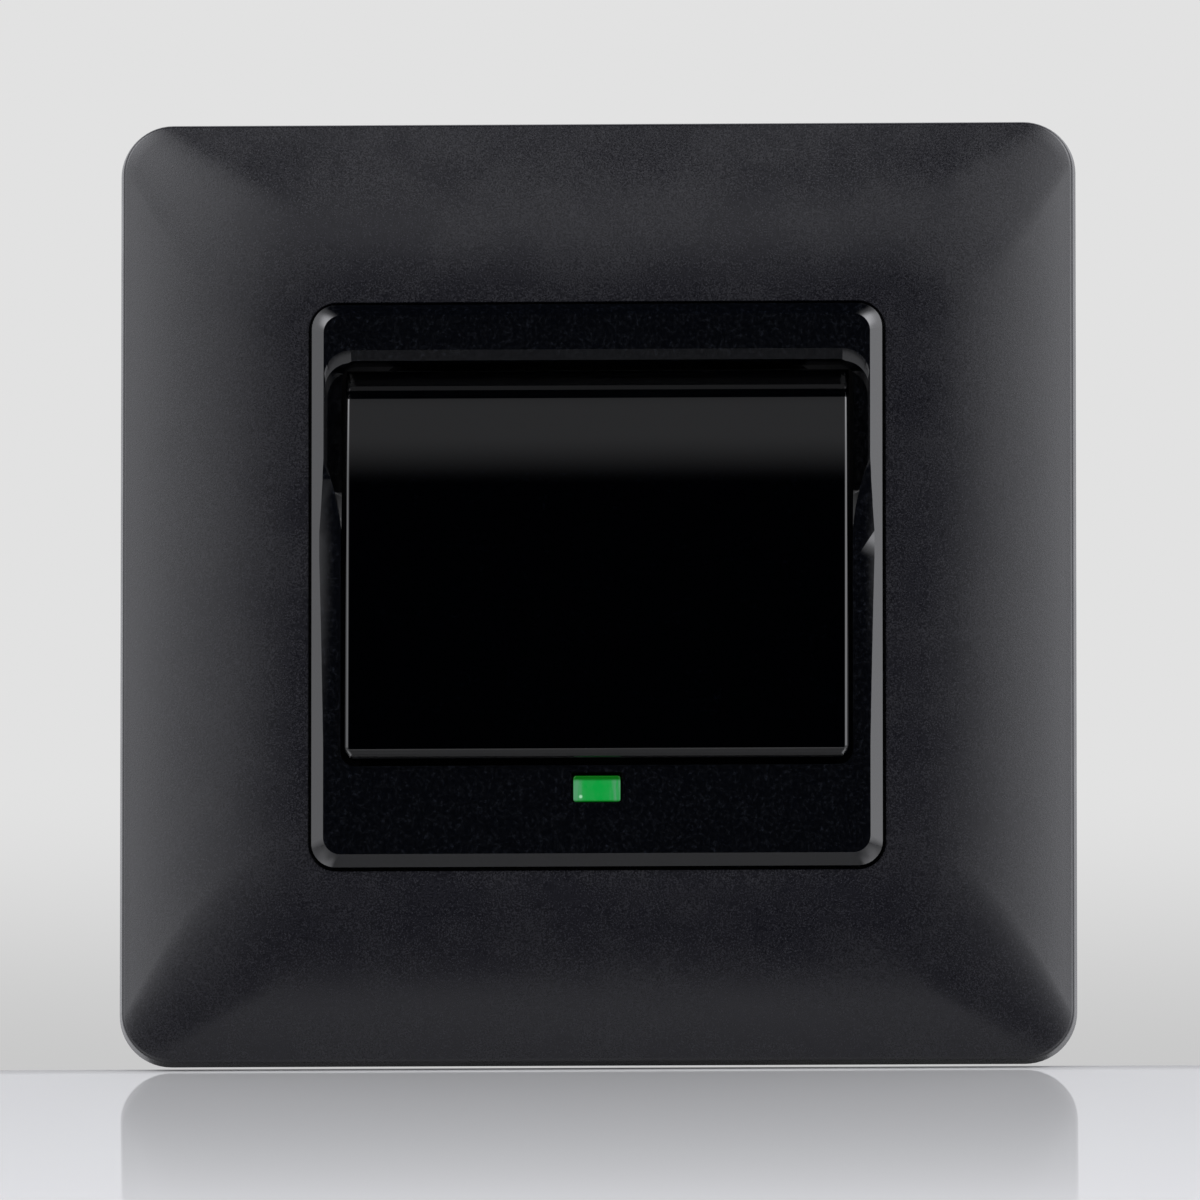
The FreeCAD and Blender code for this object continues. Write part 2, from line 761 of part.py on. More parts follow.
def common_contact():
    """Central post that carries the seesaw on a cross pin and runs down to the board."""
    half_strip = strip_width / 2
    pin_half = seesaw_width / 2 + knife_pin_overhang
    post_half = seesaw_width / 2 - ear_thick - ear_side_gap
    pin = rod((-pin_half, seesaw_pivot_y, pivot_z), (1, 0, 0), 2 * pin_half, knife_pin_r)
    post = box(-post_half, post_half, seesaw_pivot_y - weld, divider_front,
               pivot_z - contact_post / 2, pivot_z + contact_post / 2)
    foot = box(-half_strip, half_strip, divider_front - contact_foot_thick, divider_front,
               pivot_z - contact_foot / 2, pivot_z + contact_foot / 2)
    tail = box(-half_strip, half_strip, divider_front, board_front,
               pivot_z - strip_thick / 2, pivot_z + strip_thick / 2)
    return join([pin, post, foot, tail])


def fixed_contact(side):
    """Strip under one end of the seesaw, with its tail to the board."""
    half_strip = strip_width / 2
    front = tip_back(seesaw_half_deg) + tip_rest_gap + tip_thick
    tail_z = side * tail_reach
    low, high = sided(side, seesaw_tip_z - strip_width / 2, tail_reach + strip_thick / 2)
    strip = box(-half_strip, half_strip, front, front + strip_thick, pivot_z + low, pivot_z + high)
    tail = box(-half_strip, half_strip, front, board_front,
               pivot_z + tail_z - strip_thick / 2, pivot_z + tail_z + strip_thick / 2)
    return join([strip, tail])


def upper_contact():
    return fixed_contact(1)


def lower_contact():
    return fixed_contact(-1)


def indicator_lens():
    half_w = window_width / 2 - lens_gap + lens_flange
    half_h = window_height / 2 - lens_gap + lens_flange
    face = lens_recess - plate_face_depth
    seat = plate_skin - plate_face_depth
    block = Part.Face(window_outline(-lens_gap, face)).extrude(V(0, seat - face + weld, 0))
    flange = box(-half_w, half_w, seat, seat + lens_flange_thick, window_z - half_h, window_z + half_h)
    return join([block, flange])


def light_pipe():
    front = plate_skin + lens_flange_thick - plate_face_depth
    pipe = light_pipe_prism(front, board_front - led_thick - led_gap)
    collar = light_pipe_prism(divider_front - 1, divider_front, pipe_collar)
    return join([pipe, collar])


def support_plate():
    plate = square_prism(support_size, support_corner_r, -support_thick, 0)
    hole_size = tub_size + 2 * support_hole_gap
    hole = square_prism(hole_size, tub_corner_r + support_hole_gap, -support_thick - 1, 1)
    half = fixing_slot_length / 2
    end_r = fixing_hole_r - 0.001
    slots = []
    for centre in (-fixing_spacing / 2, fixing_spacing / 2):
        slots.append(round_prism(centre - half, centre + half, -fixing_hole_r, fixing_hole_r, end_r,
                                 -support_thick - 1, 1))
        slots.append(round_prism(-fixing_hole_r, fixing_hole_r, centre - half, centre + half, end_r,
                                 -support_thick - 1, 1))
    beads = []
    half_w = stiffener_width / 2
    for x in (-stiffener_x, stiffener_x):
        for z in (-stiffener_z, stiffener_z):
            beads.append(round_prism(
                x - half_w, x + half_w, z - stiffener_length / 2, z + stiffener_length / 2, half_w - 0.01,
                -support_thick - stiffener_rise, weld - support_thick))
    return join([cut(plate, [hole] + slots)] + beads)


def rear_housing():
    shell = square_prism(tub_size, tub_corner_r, divider_end, housing_end)
    inner = square_prism(tub_size - 2 * housing_wall, tub_corner_r - housing_wall, divider_end - 1,
                         housing_end - housing_wall)
    body = shell.cut(inner)
    depth = housing_end - divider_end
    added = [rod((x, divider_end, z), (0, 1, 0), depth, boss_r).common(shell) for x, z in screw_places]
    for side in (-1, 1):
        low, high = sided(side, tub_half - housing_wall - seat_width, tub_half - housing_wall + weld)
        added.append(box(low, high, board_end + board_gap, board_end + board_gap + seat_thick,
                         -seat_height / 2, seat_height / 2))
    for left, right in zip(terminal_x, terminal_x[1:]):
        middle = (left + right) / 2
        added.append(box(middle - fence_thick / 2, middle + fence_thick / 2, terminal_front,
                         housing_end - weld, weld - tub_half, terminal_z + terminal_height / 2))
    body = join([body] + added)
    holes = []
    for x, z in screw_places:
        holes.append(rod((x, divider_end - 1, z), (0, 1, 0), depth + 2, screw_r + screw_clearance))
        holes.append(rod((x, housing_end - screw_head_thick - screw_sink, z), (0, 1, 0),
                         screw_head_thick + screw_sink + 1, screw_head_r + screw_clearance))
    for x in terminal_x:
        holes.append(rod((x, housing_end - housing_wall - 1, terminal_z), (0, 1, 0), housing_wall + 2,
                         terminal_head_r + 2 * screw_clearance))
        holes.append(rod((x, wire_hole_y, -tub_half - 1), (0, 0, 1), housing_wall + 2, wire_hole_r))
    half_w = vent_width / 2
    for i in range(vent_count):
        x = (i - (vent_count - 1) / 2) * vent_pitch
        holes.append(box(x - half_w, x + half_w, housing_end - housing_wall - 1, housing_end + 1,
                         vent_low, vent_high))
    return cut(body, holes)


def housing_screws():
    screws = []
    head_end = housing_end - board_gap
    start = divider_end - boss_length + tub_wall + screw_tip_gap
    for x, z in screw_places:
        head = rod((x, head_end - screw_head_thick, z), (0, 1, 0), screw_head_thick, screw_head_r)
        shank = rod((x, start, z), (0, 1, 0), head_end - start - weld, screw_r - screw_bite_gap)
        screws.append(head.fuse(shank).removeSplitter())
    return Part.makeCompound(screws)


def main_board():
    far = board_half
    near = board_half - board_corner_cut
    quarter = [(near, -far), (near, -near), (far, -near)]
    points = []
    for x, z in quarter:
        points.append((x, z))
    points += [(x, -z) for x, z in reversed(quarter)]
    points += [(-x, -z) for x, z in quarter]
    points += [(-x, z) for x, z in reversed(quarter)]
    outline = Part.makePolygon([V(x, board_front, z) for x, z in points + points[:1]])
    return Part.Face(outline).extrude(V(0, board_thick, 0))


def terminal_clamps():
    cages = []
    half = terminal_width / 2
    low = terminal_z - terminal_height / 2
    high = terminal_z + terminal_height / 2
    for x in terminal_x:
        cage = box(x - half, x + half, terminal_front, terminal_end, low, high)
        inside = box(x - half + terminal_wall, x + half - terminal_wall, terminal_front + terminal_wall,
                     terminal_end - 2 * terminal_wall, low - 1, high + 1)
        screw_hole = rod((x, terminal_end - 2 * terminal_wall - 1, terminal_z), (0, 1, 0),
                         2 * terminal_wall + 2, terminal_screw_r + screw_bite_gap)
        foot = box(x - terminal_foot / 2, x + terminal_foot / 2, board_end, terminal_front + weld,
                   terminal_z - 0.5, terminal_z + 0.5)
        cages.append(join([cut(cage, [inside, screw_hole]), foot]))
    return Part.makeCompound(cages)


def terminal_screws():
    screws = []
    head_start_y = terminal_end + terminal_head_stand
    head_end = head_start_y + terminal_head_thick
    reach = 2 * terminal_head_r
    for x in terminal_x:
        head = rod((x, head_start_y, terminal_z), (0, 1, 0), terminal_head_thick, terminal_head_r)
        shank = rod((x, head_start_y + weld - terminal_shank, terminal_z), (0, 1, 0), terminal_shank,
                    terminal_screw_r)
        slot = box(x - reach, x + reach, head_end - terminal_slot_depth, head_end + 1,
                   terminal_z - terminal_slot / 2, terminal_z + terminal_slot / 2)
        screws.append(head.fuse(shank).removeSplitter().cut(slot))
    return Part.makeCompound(screws)


def terminal_pads():
    """Pressure pads on the screws' ends, which press the wires into the cages."""
    half = terminal_width / 2 - terminal_wall - leg_gap
    end = terminal_end + terminal_head_stand + weld - terminal_shank - board_gap
    low, high = terminal_z - pad_height / 2, terminal_z + pad_height / 2
    return Part.makeCompound([
        box(x - half, x + half, end - pad_thick, end, low, high) for x in terminal_x
    ])


def relay():
    left, right = on_board(relay_left), on_board(relay_right)
    low, high = on_board(relay_low), on_board(relay_high)
    start, end = board_end + relay_stand, board_end + relay_height
    case = round_prism(left, right, low, high, part_corner_r, start, end)
    feet = []
    for x in (left + 2 * relay_foot, right - 2 * relay_foot):
        for z in (low + 3 * relay_foot, (low + high) / 2, high - 3 * relay_foot):
            feet.append(box(x - relay_foot / 2, x + relay_foot / 2, board_end, board_end + relay_stand + weld,
                            z - relay_foot / 2, z + relay_foot / 2))
    return join([case] + feet)


def power_transformer():
    left, right = on_board(core_left), on_board(core_right)
    low, high = on_board(core_low), on_board(core_high)
    middle_y = board_end + (core_stand + core_height) / 2
    core = box(left, right, board_end + core_stand, board_end + core_height, low, high)
    bobbin = box(left + bobbin_inset, right - bobbin_inset, board_end, board_end + core_height + bobbin_inset,
                 low - bobbin_reach, high + bobbin_reach)
    winding = rod(((left + right) / 2, middle_y, low + bobbin_inset), (0, 0, 1),
                  high - low - 2 * bobbin_inset, on_board(winding_r_share))
    return join([core, bobbin, winding])


def smoothing_capacitors():
    x, start = on_board(capacitor_place), board_end + board_gap
    radius = on_board(capacitor_r_share)
    return Part.makeCompound([
        rod((x, start, on_board(share)), (0, 1, 0), capacitor_height, radius)
        for share in (capacitor_low, capacitor_high)
    ])


def radio_module():
    return box(on_board(radio_left), on_board(radio_right), board_end, board_end + radio_thick,
               on_board(radio_low), on_board(radio_high))


def radio_shield():
    front = board_end + radio_thick
    return round_prism(on_board(radio_left) + shield_inset, on_board(shield_right),
                       on_board(radio_low) + shield_inset, on_board(radio_high) - shield_inset,
                       part_corner_r, front, front + shield_height)


def fuse():
    left, right, z = on_board(fuse_left), on_board(fuse_right), on_board(fuse_place)
    barrel = rod((left, board_end + fuse_r + part_stand, z), (1, 0, 0), right - left, fuse_r)
    leads = [
        rod((x, board_end, z), (0, 1, 0), fuse_r, lead_r) for x in (left + 3 * lead_r, right - 3 * lead_r)
    ]
    return join([barrel] + leads)


def varistor():
    left, right, z = on_board(varistor_left), on_board(varistor_right), on_board(varistor_place)
    rise = varistor_r + 2 * part_stand
    disc = rod((left, board_end + rise + part_stand, z), (1, 0, 0), right - left, varistor_r)
    leads = [
        rod(((left + right) / 2, board_end, z + side * varistor_r / 2), (0, 1, 0), varistor_r / 2 + 1, lead_r)
        for side in (-1, 1)
    ]
    return join([disc] + leads)


def status_led():
    return box(-led_width / 2, led_width / 2, board_front - led_thick, board_front,
               window_z - led_height / 2, window_z + led_height / 2)


nodes = [
    outer_frame, centre_plate, rocker_paddle, indicator_lens, light_pipe, support_plate, mechanism_cover,
    rear_housing, housing_screws, rocker_carrier, pivot_axle, plunger, plunger_spring, contact_seesaw,
    moving_tips, common_contact, upper_contact, lower_contact, fixed_tips, main_board, relay,
    power_transformer, smoothing_capacitors, radio_module, radio_shield, fuse, varistor, status_led,
    terminal_clamps, terminal_screws, terminal_pads,
]

os.makedirs("parts", exist_ok=True)
for make in nodes:
    shape = make()
    shape.exportStep("parts/" + make.__name__ + ".step")
    size = shape.BoundBox
    corners = [round(v, 2) for v in (size.XMin, size.XMax, size.YMin, size.YMax, size.ZMin, size.ZMax)]
    print(make.__name__, len(shape.Solids), shape.isValid(), round(shape.Volume, 1), corners)
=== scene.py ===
import json
import math

import bmesh
import bpy
from mathutils import Matrix, Vector


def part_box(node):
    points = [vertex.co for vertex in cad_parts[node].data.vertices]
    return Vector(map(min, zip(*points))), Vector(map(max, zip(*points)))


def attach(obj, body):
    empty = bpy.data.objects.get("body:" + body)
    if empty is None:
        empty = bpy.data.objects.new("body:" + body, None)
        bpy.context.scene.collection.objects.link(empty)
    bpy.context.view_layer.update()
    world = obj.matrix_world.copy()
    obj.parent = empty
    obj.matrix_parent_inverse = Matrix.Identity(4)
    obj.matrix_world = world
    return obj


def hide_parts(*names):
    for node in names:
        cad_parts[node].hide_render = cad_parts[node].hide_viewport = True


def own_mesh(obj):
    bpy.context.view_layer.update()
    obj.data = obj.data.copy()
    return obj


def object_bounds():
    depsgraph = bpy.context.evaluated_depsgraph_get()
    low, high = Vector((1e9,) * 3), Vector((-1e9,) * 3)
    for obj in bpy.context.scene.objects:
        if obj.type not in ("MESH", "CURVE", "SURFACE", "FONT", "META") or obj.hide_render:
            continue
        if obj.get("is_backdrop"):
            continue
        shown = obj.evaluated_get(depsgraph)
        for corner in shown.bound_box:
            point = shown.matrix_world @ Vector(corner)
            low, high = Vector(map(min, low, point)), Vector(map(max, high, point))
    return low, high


bl_info = {
    "name": "Tilting wall switch",
    "version": (1, 0, 0),
    "blender": (4, 5, 0),
    "location": "View3D > Sidebar > Switch",
    "description": "Dresses the packed wall switch: frame, plate, paddle, module and studio",
    "category": "Object",
}

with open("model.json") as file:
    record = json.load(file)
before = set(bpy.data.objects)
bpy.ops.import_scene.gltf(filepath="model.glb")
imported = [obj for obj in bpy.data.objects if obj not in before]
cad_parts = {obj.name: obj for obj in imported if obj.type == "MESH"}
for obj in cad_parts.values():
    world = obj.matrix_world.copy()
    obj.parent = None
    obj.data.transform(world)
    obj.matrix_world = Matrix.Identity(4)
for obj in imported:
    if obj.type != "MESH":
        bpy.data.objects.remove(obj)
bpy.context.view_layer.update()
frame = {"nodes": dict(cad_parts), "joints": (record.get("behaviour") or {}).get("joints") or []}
nodes = frame["nodes"]

MM = 0.001
hinge = next(joint for joint in frame["joints"] if joint["name"] == "paddle_tilt")
PIVOT = Vector(hinge["pos_m"])
TILT = math.radians(hinge["range_deg"][1]) / 2
EDGE_STEPS = 4
CROWN_STEPS = 26
HOLLOW_STEPS = 8
FLOOR_STEPS = 48
ROLL_STEPS = 14
FALL_STEPS = 12
COIL_STEPS = 20
CORNER_STEPS = 10
WELD = 0.001 * MM
# How far a cutting tool reaches past what it cuts.
CLEAR = 1 * MM


# Node trees

def start_material(name):
    """A new material with its shader, and its node tree to add to."""
    material = bpy.data.materials.new(name)
    material.use_nodes = True
    tree = material.node_tree
    tree.nodes.clear()
    output = tree.nodes.new("ShaderNodeOutputMaterial")
    output.name = "Material Output"
    shader = tree.nodes.new("ShaderNodeBsdfPrincipled")
    tree.links.new(shader.outputs["BSDF"], output.inputs["Surface"])
    return material, tree, shader


def add(tree, kind, values=None, **settings):
    """A node of the tree with its settings, and with numbers or links put in its sockets."""
    node = tree.nodes.new(kind)
    for name, value in settings.items():
        setattr(node, name, value)
    for socket, value in (values or {}).items():
        plug(tree, node.inputs[socket], value)
    return node


def plug(tree, socket, value):
    if isinstance(value, bpy.types.NodeSocket):
        tree.links.new(value, socket)
    else:
        socket.default_value = value


def maths(tree, operation, first, *others):
    """The values put together by an operation, from left to right."""
    result = first
    for value in others or (0.0,):
        result = add(tree, "ShaderNodeMath", {0: result, 1: value}, operation=operation).outputs[0]
    return result


def remap(tree, value, low, high, to_low=0.0, to_high=1.0, curve="SMOOTHSTEP"):
    node = add(tree, "ShaderNodeMapRange", {
        "Value": value, "From Min": low, "From Max": high, "To Min": to_low, "To Max": to_high},
        interpolation_type=curve)
    return node.outputs["Result"]


def mix_colours(tree, share, first, second):
    """A colour between the first, at a share of 0, and the second, at 1."""
    node = add(tree, "ShaderNodeMix", data_type="RGBA")
    plug(tree, node.inputs[0], share)
    plug(tree, node.inputs[6], first)
    plug(tree, node.inputs[7], second)
    return node.outputs[2]


def grain(tree, size, detail=2.0, roughness=0.5, stretch=(1.0, 1.0, 1.0)):
    """Noise with specks of about the given size in metres, fixed to the object."""
    place = add(tree, "ShaderNodeTexCoord").outputs["Object"]
    placed = add(tree, "ShaderNodeMapping", {"Vector": place, "Scale": stretch}).outputs["Vector"]
    return add(tree, "ShaderNodeTexNoise", {
        "Vector": placed, "Scale": 1.0 / size, "Detail": detail, "Roughness": roughness}).outputs["Fac"]


def relief(tree, shader, height, strength, depth):
    bump = add(tree, "ShaderNodeBump", {"Height": height, "Strength": strength, "Distance": depth})
    tree.links.new(bump.outputs["Normal"], shader.inputs["Normal"])


def grey(level):
    return (level, level, level, 1.0)


# Meshes

FRONT = Matrix.Rotation(math.pi / 2, 4, "X")


def ring(bm, x0, x1, z0, z1, radius, y, steps=CORNER_STEPS):
    """Edges of a rectangle with round corners, in the plane of the given y."""
    before = set(bm.edges)
    size = Matrix.Diagonal(((x1 - x0) / 2, (z1 - z0) / 2, 1.0, 1.0))
    place = Matrix.Translation(((x0 + x1) / 2, y, (z0 + z1) / 2)) @ FRONT @ size
    corners = bmesh.ops.create_grid(bm, x_segments=1, y_segments=1, size=1.0, matrix=place)["verts"]
    bmesh.ops.bevel(bm, geom=corners, offset=radius, segments=steps, profile=0.5, affect="VERTICES",
                    material=-1)
    edges = [edge for edge in bm.edges if edge not in before]
    faces = {face for edge in edges for face in edge.link_faces}
    bmesh.ops.delete(bm, geom=list(faces), context="FACES_ONLY")
    return edges


def square_ring(bm, half, radius, y, steps=CORNER_STEPS):
    return ring(bm, -half, half, -half, half, radius, y, steps)


def skin(bm, rings, closed=False):
    """Faces between each ring and the next, and from the last to the first where closed."""
    pairs = list(zip(rings, rings[1:]))
    if closed:
        pairs.append((rings[-1], rings[0]))
    for first, second in pairs:
        bmesh.ops.bridge_loops(bm, edges=first + second)


def cap(bm, edges):
    bmesh.ops.contextual_create(bm, geom=edges)


def arc(centre, radius, start, end, steps):
    """Points on an arc in a plane, from one angle to another in degrees."""
    angles = [math.radians(start + (end - start) * i / steps) for i in range(steps + 1)]
    return [(centre[0] + radius * math.cos(a), centre[1] + radius * math.sin(a)) for a in angles]


def finished(bm, name, smooth_to=32.0):
    """An object with the mesh, its faces outwards and its true edges sharp."""
    bmesh.ops.remove_doubles(bm, verts=bm.verts, dist=WELD)
    bmesh.ops.recalc_face_normals(bm, faces=bm.faces)
    for face in bm.faces:
        face.smooth = True
    mesh = bpy.data.meshes.new(name)
    bm.to_mesh(mesh)
    bm.free()
    mesh.set_sharp_from_angle(angle=math.radians(smooth_to))
    obj = bpy.data.objects.new(name, mesh)
    bpy.context.scene.collection.objects.link(obj)
    return obj


def carve(obj, tool, operation="DIFFERENCE"):
    """Cuts the tool's solid out of the object, or joins it on, and removes the tool."""
    modifier = obj.modifiers.new("carve", "BOOLEAN")
    modifier.operation = operation
    modifier.solver = "EXACT"
    modifier.object = tool
    done = obj.evaluated_get(bpy.context.evaluated_depsgraph_get())
    mesh = bpy.data.meshes.new_from_object(done)
    obj.modifiers.remove(modifier)
    obj.data = mesh
    bpy.data.objects.remove(tool)


def soften(obj, offset, least=25.0, steps=2, crisp=12.0):
    """Rounds the object's true edges, as a mould does, and keeps its shallow creases crisp."""
    bm = bmesh.new()
    bm.from_mesh(obj.data)
    bmesh.ops.remove_doubles(bm, verts=bm.verts, dist=0.004 * MM)
    bmesh.ops.dissolve_limit(bm, angle_limit=math.radians(0.4), verts=bm.verts, edges=bm.edges)
    edges = [edge for edge in bm.edges
             if len(edge.link_faces) == 2 and edge.calc_face_angle() > math.radians(least)]
    made = bmesh.ops.bevel(bm, geom=edges, offset=offset, segments=steps, profile=0.5, affect="EDGES",
                           clamp_overlap=True, material=-1, face_strength_mode="ALL")
    rounded = set(made["faces"])
    for face in bm.faces:
        face.smooth = True
    for edge in bm.edges:
        flat = rounded.isdisjoint(edge.link_faces)
        edge.smooth = not (flat and edge.calc_face_angle(0.0) > math.radians(crisp))
    bm.to_mesh(obj.data)
    bm.free()


def even_shading(obj):
    """Lets the large flat faces set the shading beside their rounded edges."""
    modifier = obj.modifiers.new("even_shading", "WEIGHTED_NORMAL")
    modifier.mode = "FACE_AREA"
    modifier.weight = 50
    modifier.keep_sharp = True
    modifier.use_face_influence = True


def round_corners(points, radii, steps=4):
    """The closed outline with an arc at each of its corners that has a radius."""
    rounded = []
    for i, point in enumerate(points):
        radius = radii.get(i, 0.0)
        here = Vector(point)
        back = (Vector(points[i - 1]) - here).normalized()
        ahead = (Vector(points[(i + 1) % len(points)]) - here).normalized()
        half = back.angle(ahead) / 2
        if radius == 0.0 or half > math.radians(89.5):
            rounded.append(here)
            continue
        centre = here + (back + ahead).normalized() * radius / math.sin(half)
        start = here + back * radius / math.tan(half) - centre
        end = here + ahead * radius / math.tan(half) - centre
        turn = start.angle_signed(end)
        for step in range(steps + 1):
            spoke = start.copy()
            spoke.rotate(Matrix.Rotation(-turn * step / steps, 2))
            rounded.append(centre + spoke)
    return rounded


def slab(points, x0, x1):
    """A mesh from a closed outline of (y, z) points, drawn out from x0 to x1."""
    bm = bmesh.new()
    corners = [bm.verts.new((x0, y, z)) for y, z in points]
    face = bm.faces.new(corners)
    drawn = bmesh.ops.extrude_face_region(bm, geom=[face], use_keep_orig=True)["geom"]
    moved = [v for v in drawn if isinstance(v, bmesh.types.BMVert)]
    bmesh.ops.translate(bm, verts=moved, vec=(x1 - x0, 0.0, 0.0))
    bmesh.ops.recalc_face_normals(bm, faces=bm.faces)
    return bm


def block(x0, x1, y0, y1, z0, z1):
    """A box object, to carve with."""
    return finished(slab([(y0, z0), (y1, z0), (y1, z1), (y0, z1)], x0, x1), "block")


def tube_cut(x0, x1, z0, z1, radius, y0, y1):
    """A prism object with round corners along the depth, to carve with."""
    bm = bmesh.new()
    ends = [ring(bm, x0, x1, z0, z1, radius, y) for y in (y0, y1)]
    skin(bm, ends)
    for end in ends:
        cap(bm, end)
    return finished(bm, "prism")


def textured_frame(settings):
    """Matt black cover frame with a fine spark-eroded speckle."""
    material, tree, shader = start_material("frame_speckled_black")
    speck = grain(tree, settings.speckle_size, detail=3.0, roughness=0.65)
    broad = grain(tree, 6 * MM, detail=2.0)
    light = mix_colours(tree, remap(tree, speck, 0.35, 0.7), settings.colour_low, settings.colour_high)
    tree.links.new(light, shader.inputs["Base Color"])
    fine_dull = remap(tree, speck, 0.3, 0.7, 0.19, 0.3)
    dull = maths(tree, "ADD", fine_dull, remap(tree, broad, 0.3, 0.7, -0.02, 0.02))
    tree.links.new(dull, shader.inputs["Roughness"])
    shader.inputs["Specular IOR Level"].default_value = settings.shine
    relief(tree, shader, speck, 0.25, 0.02 * MM)
    return material


def gloss_black(name, settings, dust_level, blur):
    """Piano-black plastic: a deep gloss with faint mould waves and fine dust."""
    material, tree, shader = start_material(name)
    wave = grain(tree, settings.wave_size, detail=1.0)
    dust = grain(tree, 0.35 * MM, detail=4.0, roughness=0.7)
    clean, dusty = ((level * 0.7, level, level * 1.9, 1.0) for level in (dust_level * 0.15, dust_level))
    tint = mix_colours(tree, remap(tree, dust, 0.55, 0.8), clean, dusty)
    tree.links.new(tint, shader.inputs["Base Color"])
    tree.links.new(remap(tree, dust, 0.35, 0.75, blur * 0.8, blur * 1.5), shader.inputs["Roughness"])
    shader.inputs["Specular IOR Level"].default_value = settings.shine
    relief(tree, shader, wave, 0.05, 0.02 * MM)
    return material


def moulded_plastic(name, colour, dull, texture_size=0.12 * MM, strength=0.2):
    """Moulded plastic with a fine grain and small changes of tone."""
    material, tree, shader = start_material(name)
    fine = grain(tree, texture_size, detail=3.0, roughness=0.6)
    broad = grain(tree, 9 * MM, detail=2.0)
    darker = tuple(c * 0.82 for c in colour[:3]) + (1.0,)
    tone = mix_colours(tree, remap(tree, broad, 0.3, 0.7), darker, colour)
    tree.links.new(tone, shader.inputs["Base Color"])
    tree.links.new(remap(tree, fine, 0.3, 0.7, dull - 0.06, dull + 0.06), shader.inputs["Roughness"])
    relief(tree, shader, fine, strength, 0.02 * MM)
    return material


def worked_metal(name, colour, dull, stretch=(1.0, 1.0, 1.0), grain_size=0.15 * MM, spangle=0.0):
    """Bare or plated metal with rolling marks, and a spangle where it is zinc."""
    material, tree, shader = start_material(name)
    marks = grain(tree, grain_size, detail=4.0, roughness=0.6, stretch=stretch)
    patch = add(tree, "ShaderNodeTexVoronoi", {
        "Vector": add(tree, "ShaderNodeTexCoord").outputs["Object"], "Scale": 1 / (2.2 * MM)})
    patch_tone = maths(tree, "MULTIPLY", patch.outputs["Color"], spangle)
    tone = maths(tree, "SUBTRACT", remap(tree, marks, 0.3, 0.7, 0.9, 1.0), patch_tone)
    tint = mix_colours(tree, tone, tuple(c * 0.45 for c in colour[:3]) + (1.0,), colour)
    tree.links.new(tint, shader.inputs["Base Color"])
    shader.inputs["Metallic"].default_value = 1.0
    tree.links.new(remap(tree, marks, 0.3, 0.7, dull - 0.04, dull + 0.06), shader.inputs["Roughness"])
    relief(tree, shader, marks, 0.1, 0.002 * MM)
    return material


def green_window(settings):
    """Lit green window: painted shade under its top edge and along its lower edge, pale streaks by its sides
    and a bright spot.
    """
    material, tree, shader = start_material("window_lit_green")
    low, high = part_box("indicator_lens")
    centre = (low + high) / 2
    place = add(tree, "ShaderNodeTexCoord").outputs["Object"]
    parts = add(tree, "ShaderNodeSeparateXYZ", {"Vector": place})
    across = maths(tree, "SUBTRACT", parts.outputs["X"], centre.x)
    upward = maths(tree, "SUBTRACT", parts.outputs["Z"], centre.z)
    cloud = grain(tree, 0.9 * MM, detail=2.0)
    body = mix_colours(tree, remap(tree, cloud, 0.35, 0.65, 0.0, 0.1), settings.colour, settings.colour_pale)
    lines = grain(tree, 0.3 * MM, detail=2.0, stretch=(1.0, 1.0, 0.12))
    aside = remap(tree, maths(tree, "ABSOLUTE", across), 0.9 * MM, 1.9 * MM)
    streak = maths(tree, "MULTIPLY", aside, remap(tree, lines, 0.35, 0.6, 0.25, 1.0))
    streaked = mix_colours(tree, streak, body, settings.colour_pale)
    # Painted shade: dark green under the window's top edge and along its lower edge, in both the colour and
    # the glow.
    top = mix_colours(tree, remap(tree, upward, 0.6 * MM, 0.9 * MM), streaked, settings.painted_shade_green)
    painted_lower_edge_shade = mix_colours(tree, remap(tree, upward, -1.0 * MM, -1.2 * MM), top, settings.painted_shade_green)
    spot_x = maths(tree, "POWER", maths(tree, "ADD", across, 1.45 * MM), 2.0)
    spot_z = maths(tree, "POWER", maths(tree, "ADD", upward, 0.75 * MM), 2.0)
    near = maths(tree, "SQRT", maths(tree, "ADD", spot_x, spot_z))
    spotted = mix_colours(tree, remap(tree, near, 0.22 * MM, 0.06 * MM), painted_lower_edge_shade, settings.colour_spot)
    tree.links.new(mix_colours(tree, 0.85, spotted, grey(0.0)), shader.inputs["Base Color"])
    tree.links.new(spotted, shader.inputs["Emission Color"])
    lit = remap(tree, parts.outputs["Y"], low.y + 0.5 * MM, low.y + 0.2 * MM, 0.0, settings.glow)
    tree.links.new(lit, shader.inputs["Emission Strength"])
    shader.inputs["Roughness"].default_value = 0.22
    relief(tree, shader, cloud, 0.2, 0.05 * MM)
    return material


def clear_plastic():
    material, tree, shader = start_material("clear_acrylic")
    flow = grain(tree, 3 * MM, detail=1.0)
    tree.links.new(remap(tree, flow, 0.3, 0.7, 0.03, 0.12), shader.inputs["Roughness"])
    shader.inputs["Base Color"].default_value = (0.92, 0.96, 0.94, 1.0)
    shader.inputs["Transmission Weight"].default_value = 0.9
    shader.inputs["IOR"].default_value = 1.49
    relief(tree, shader, flow, 0.05, 0.05 * MM)
    return material


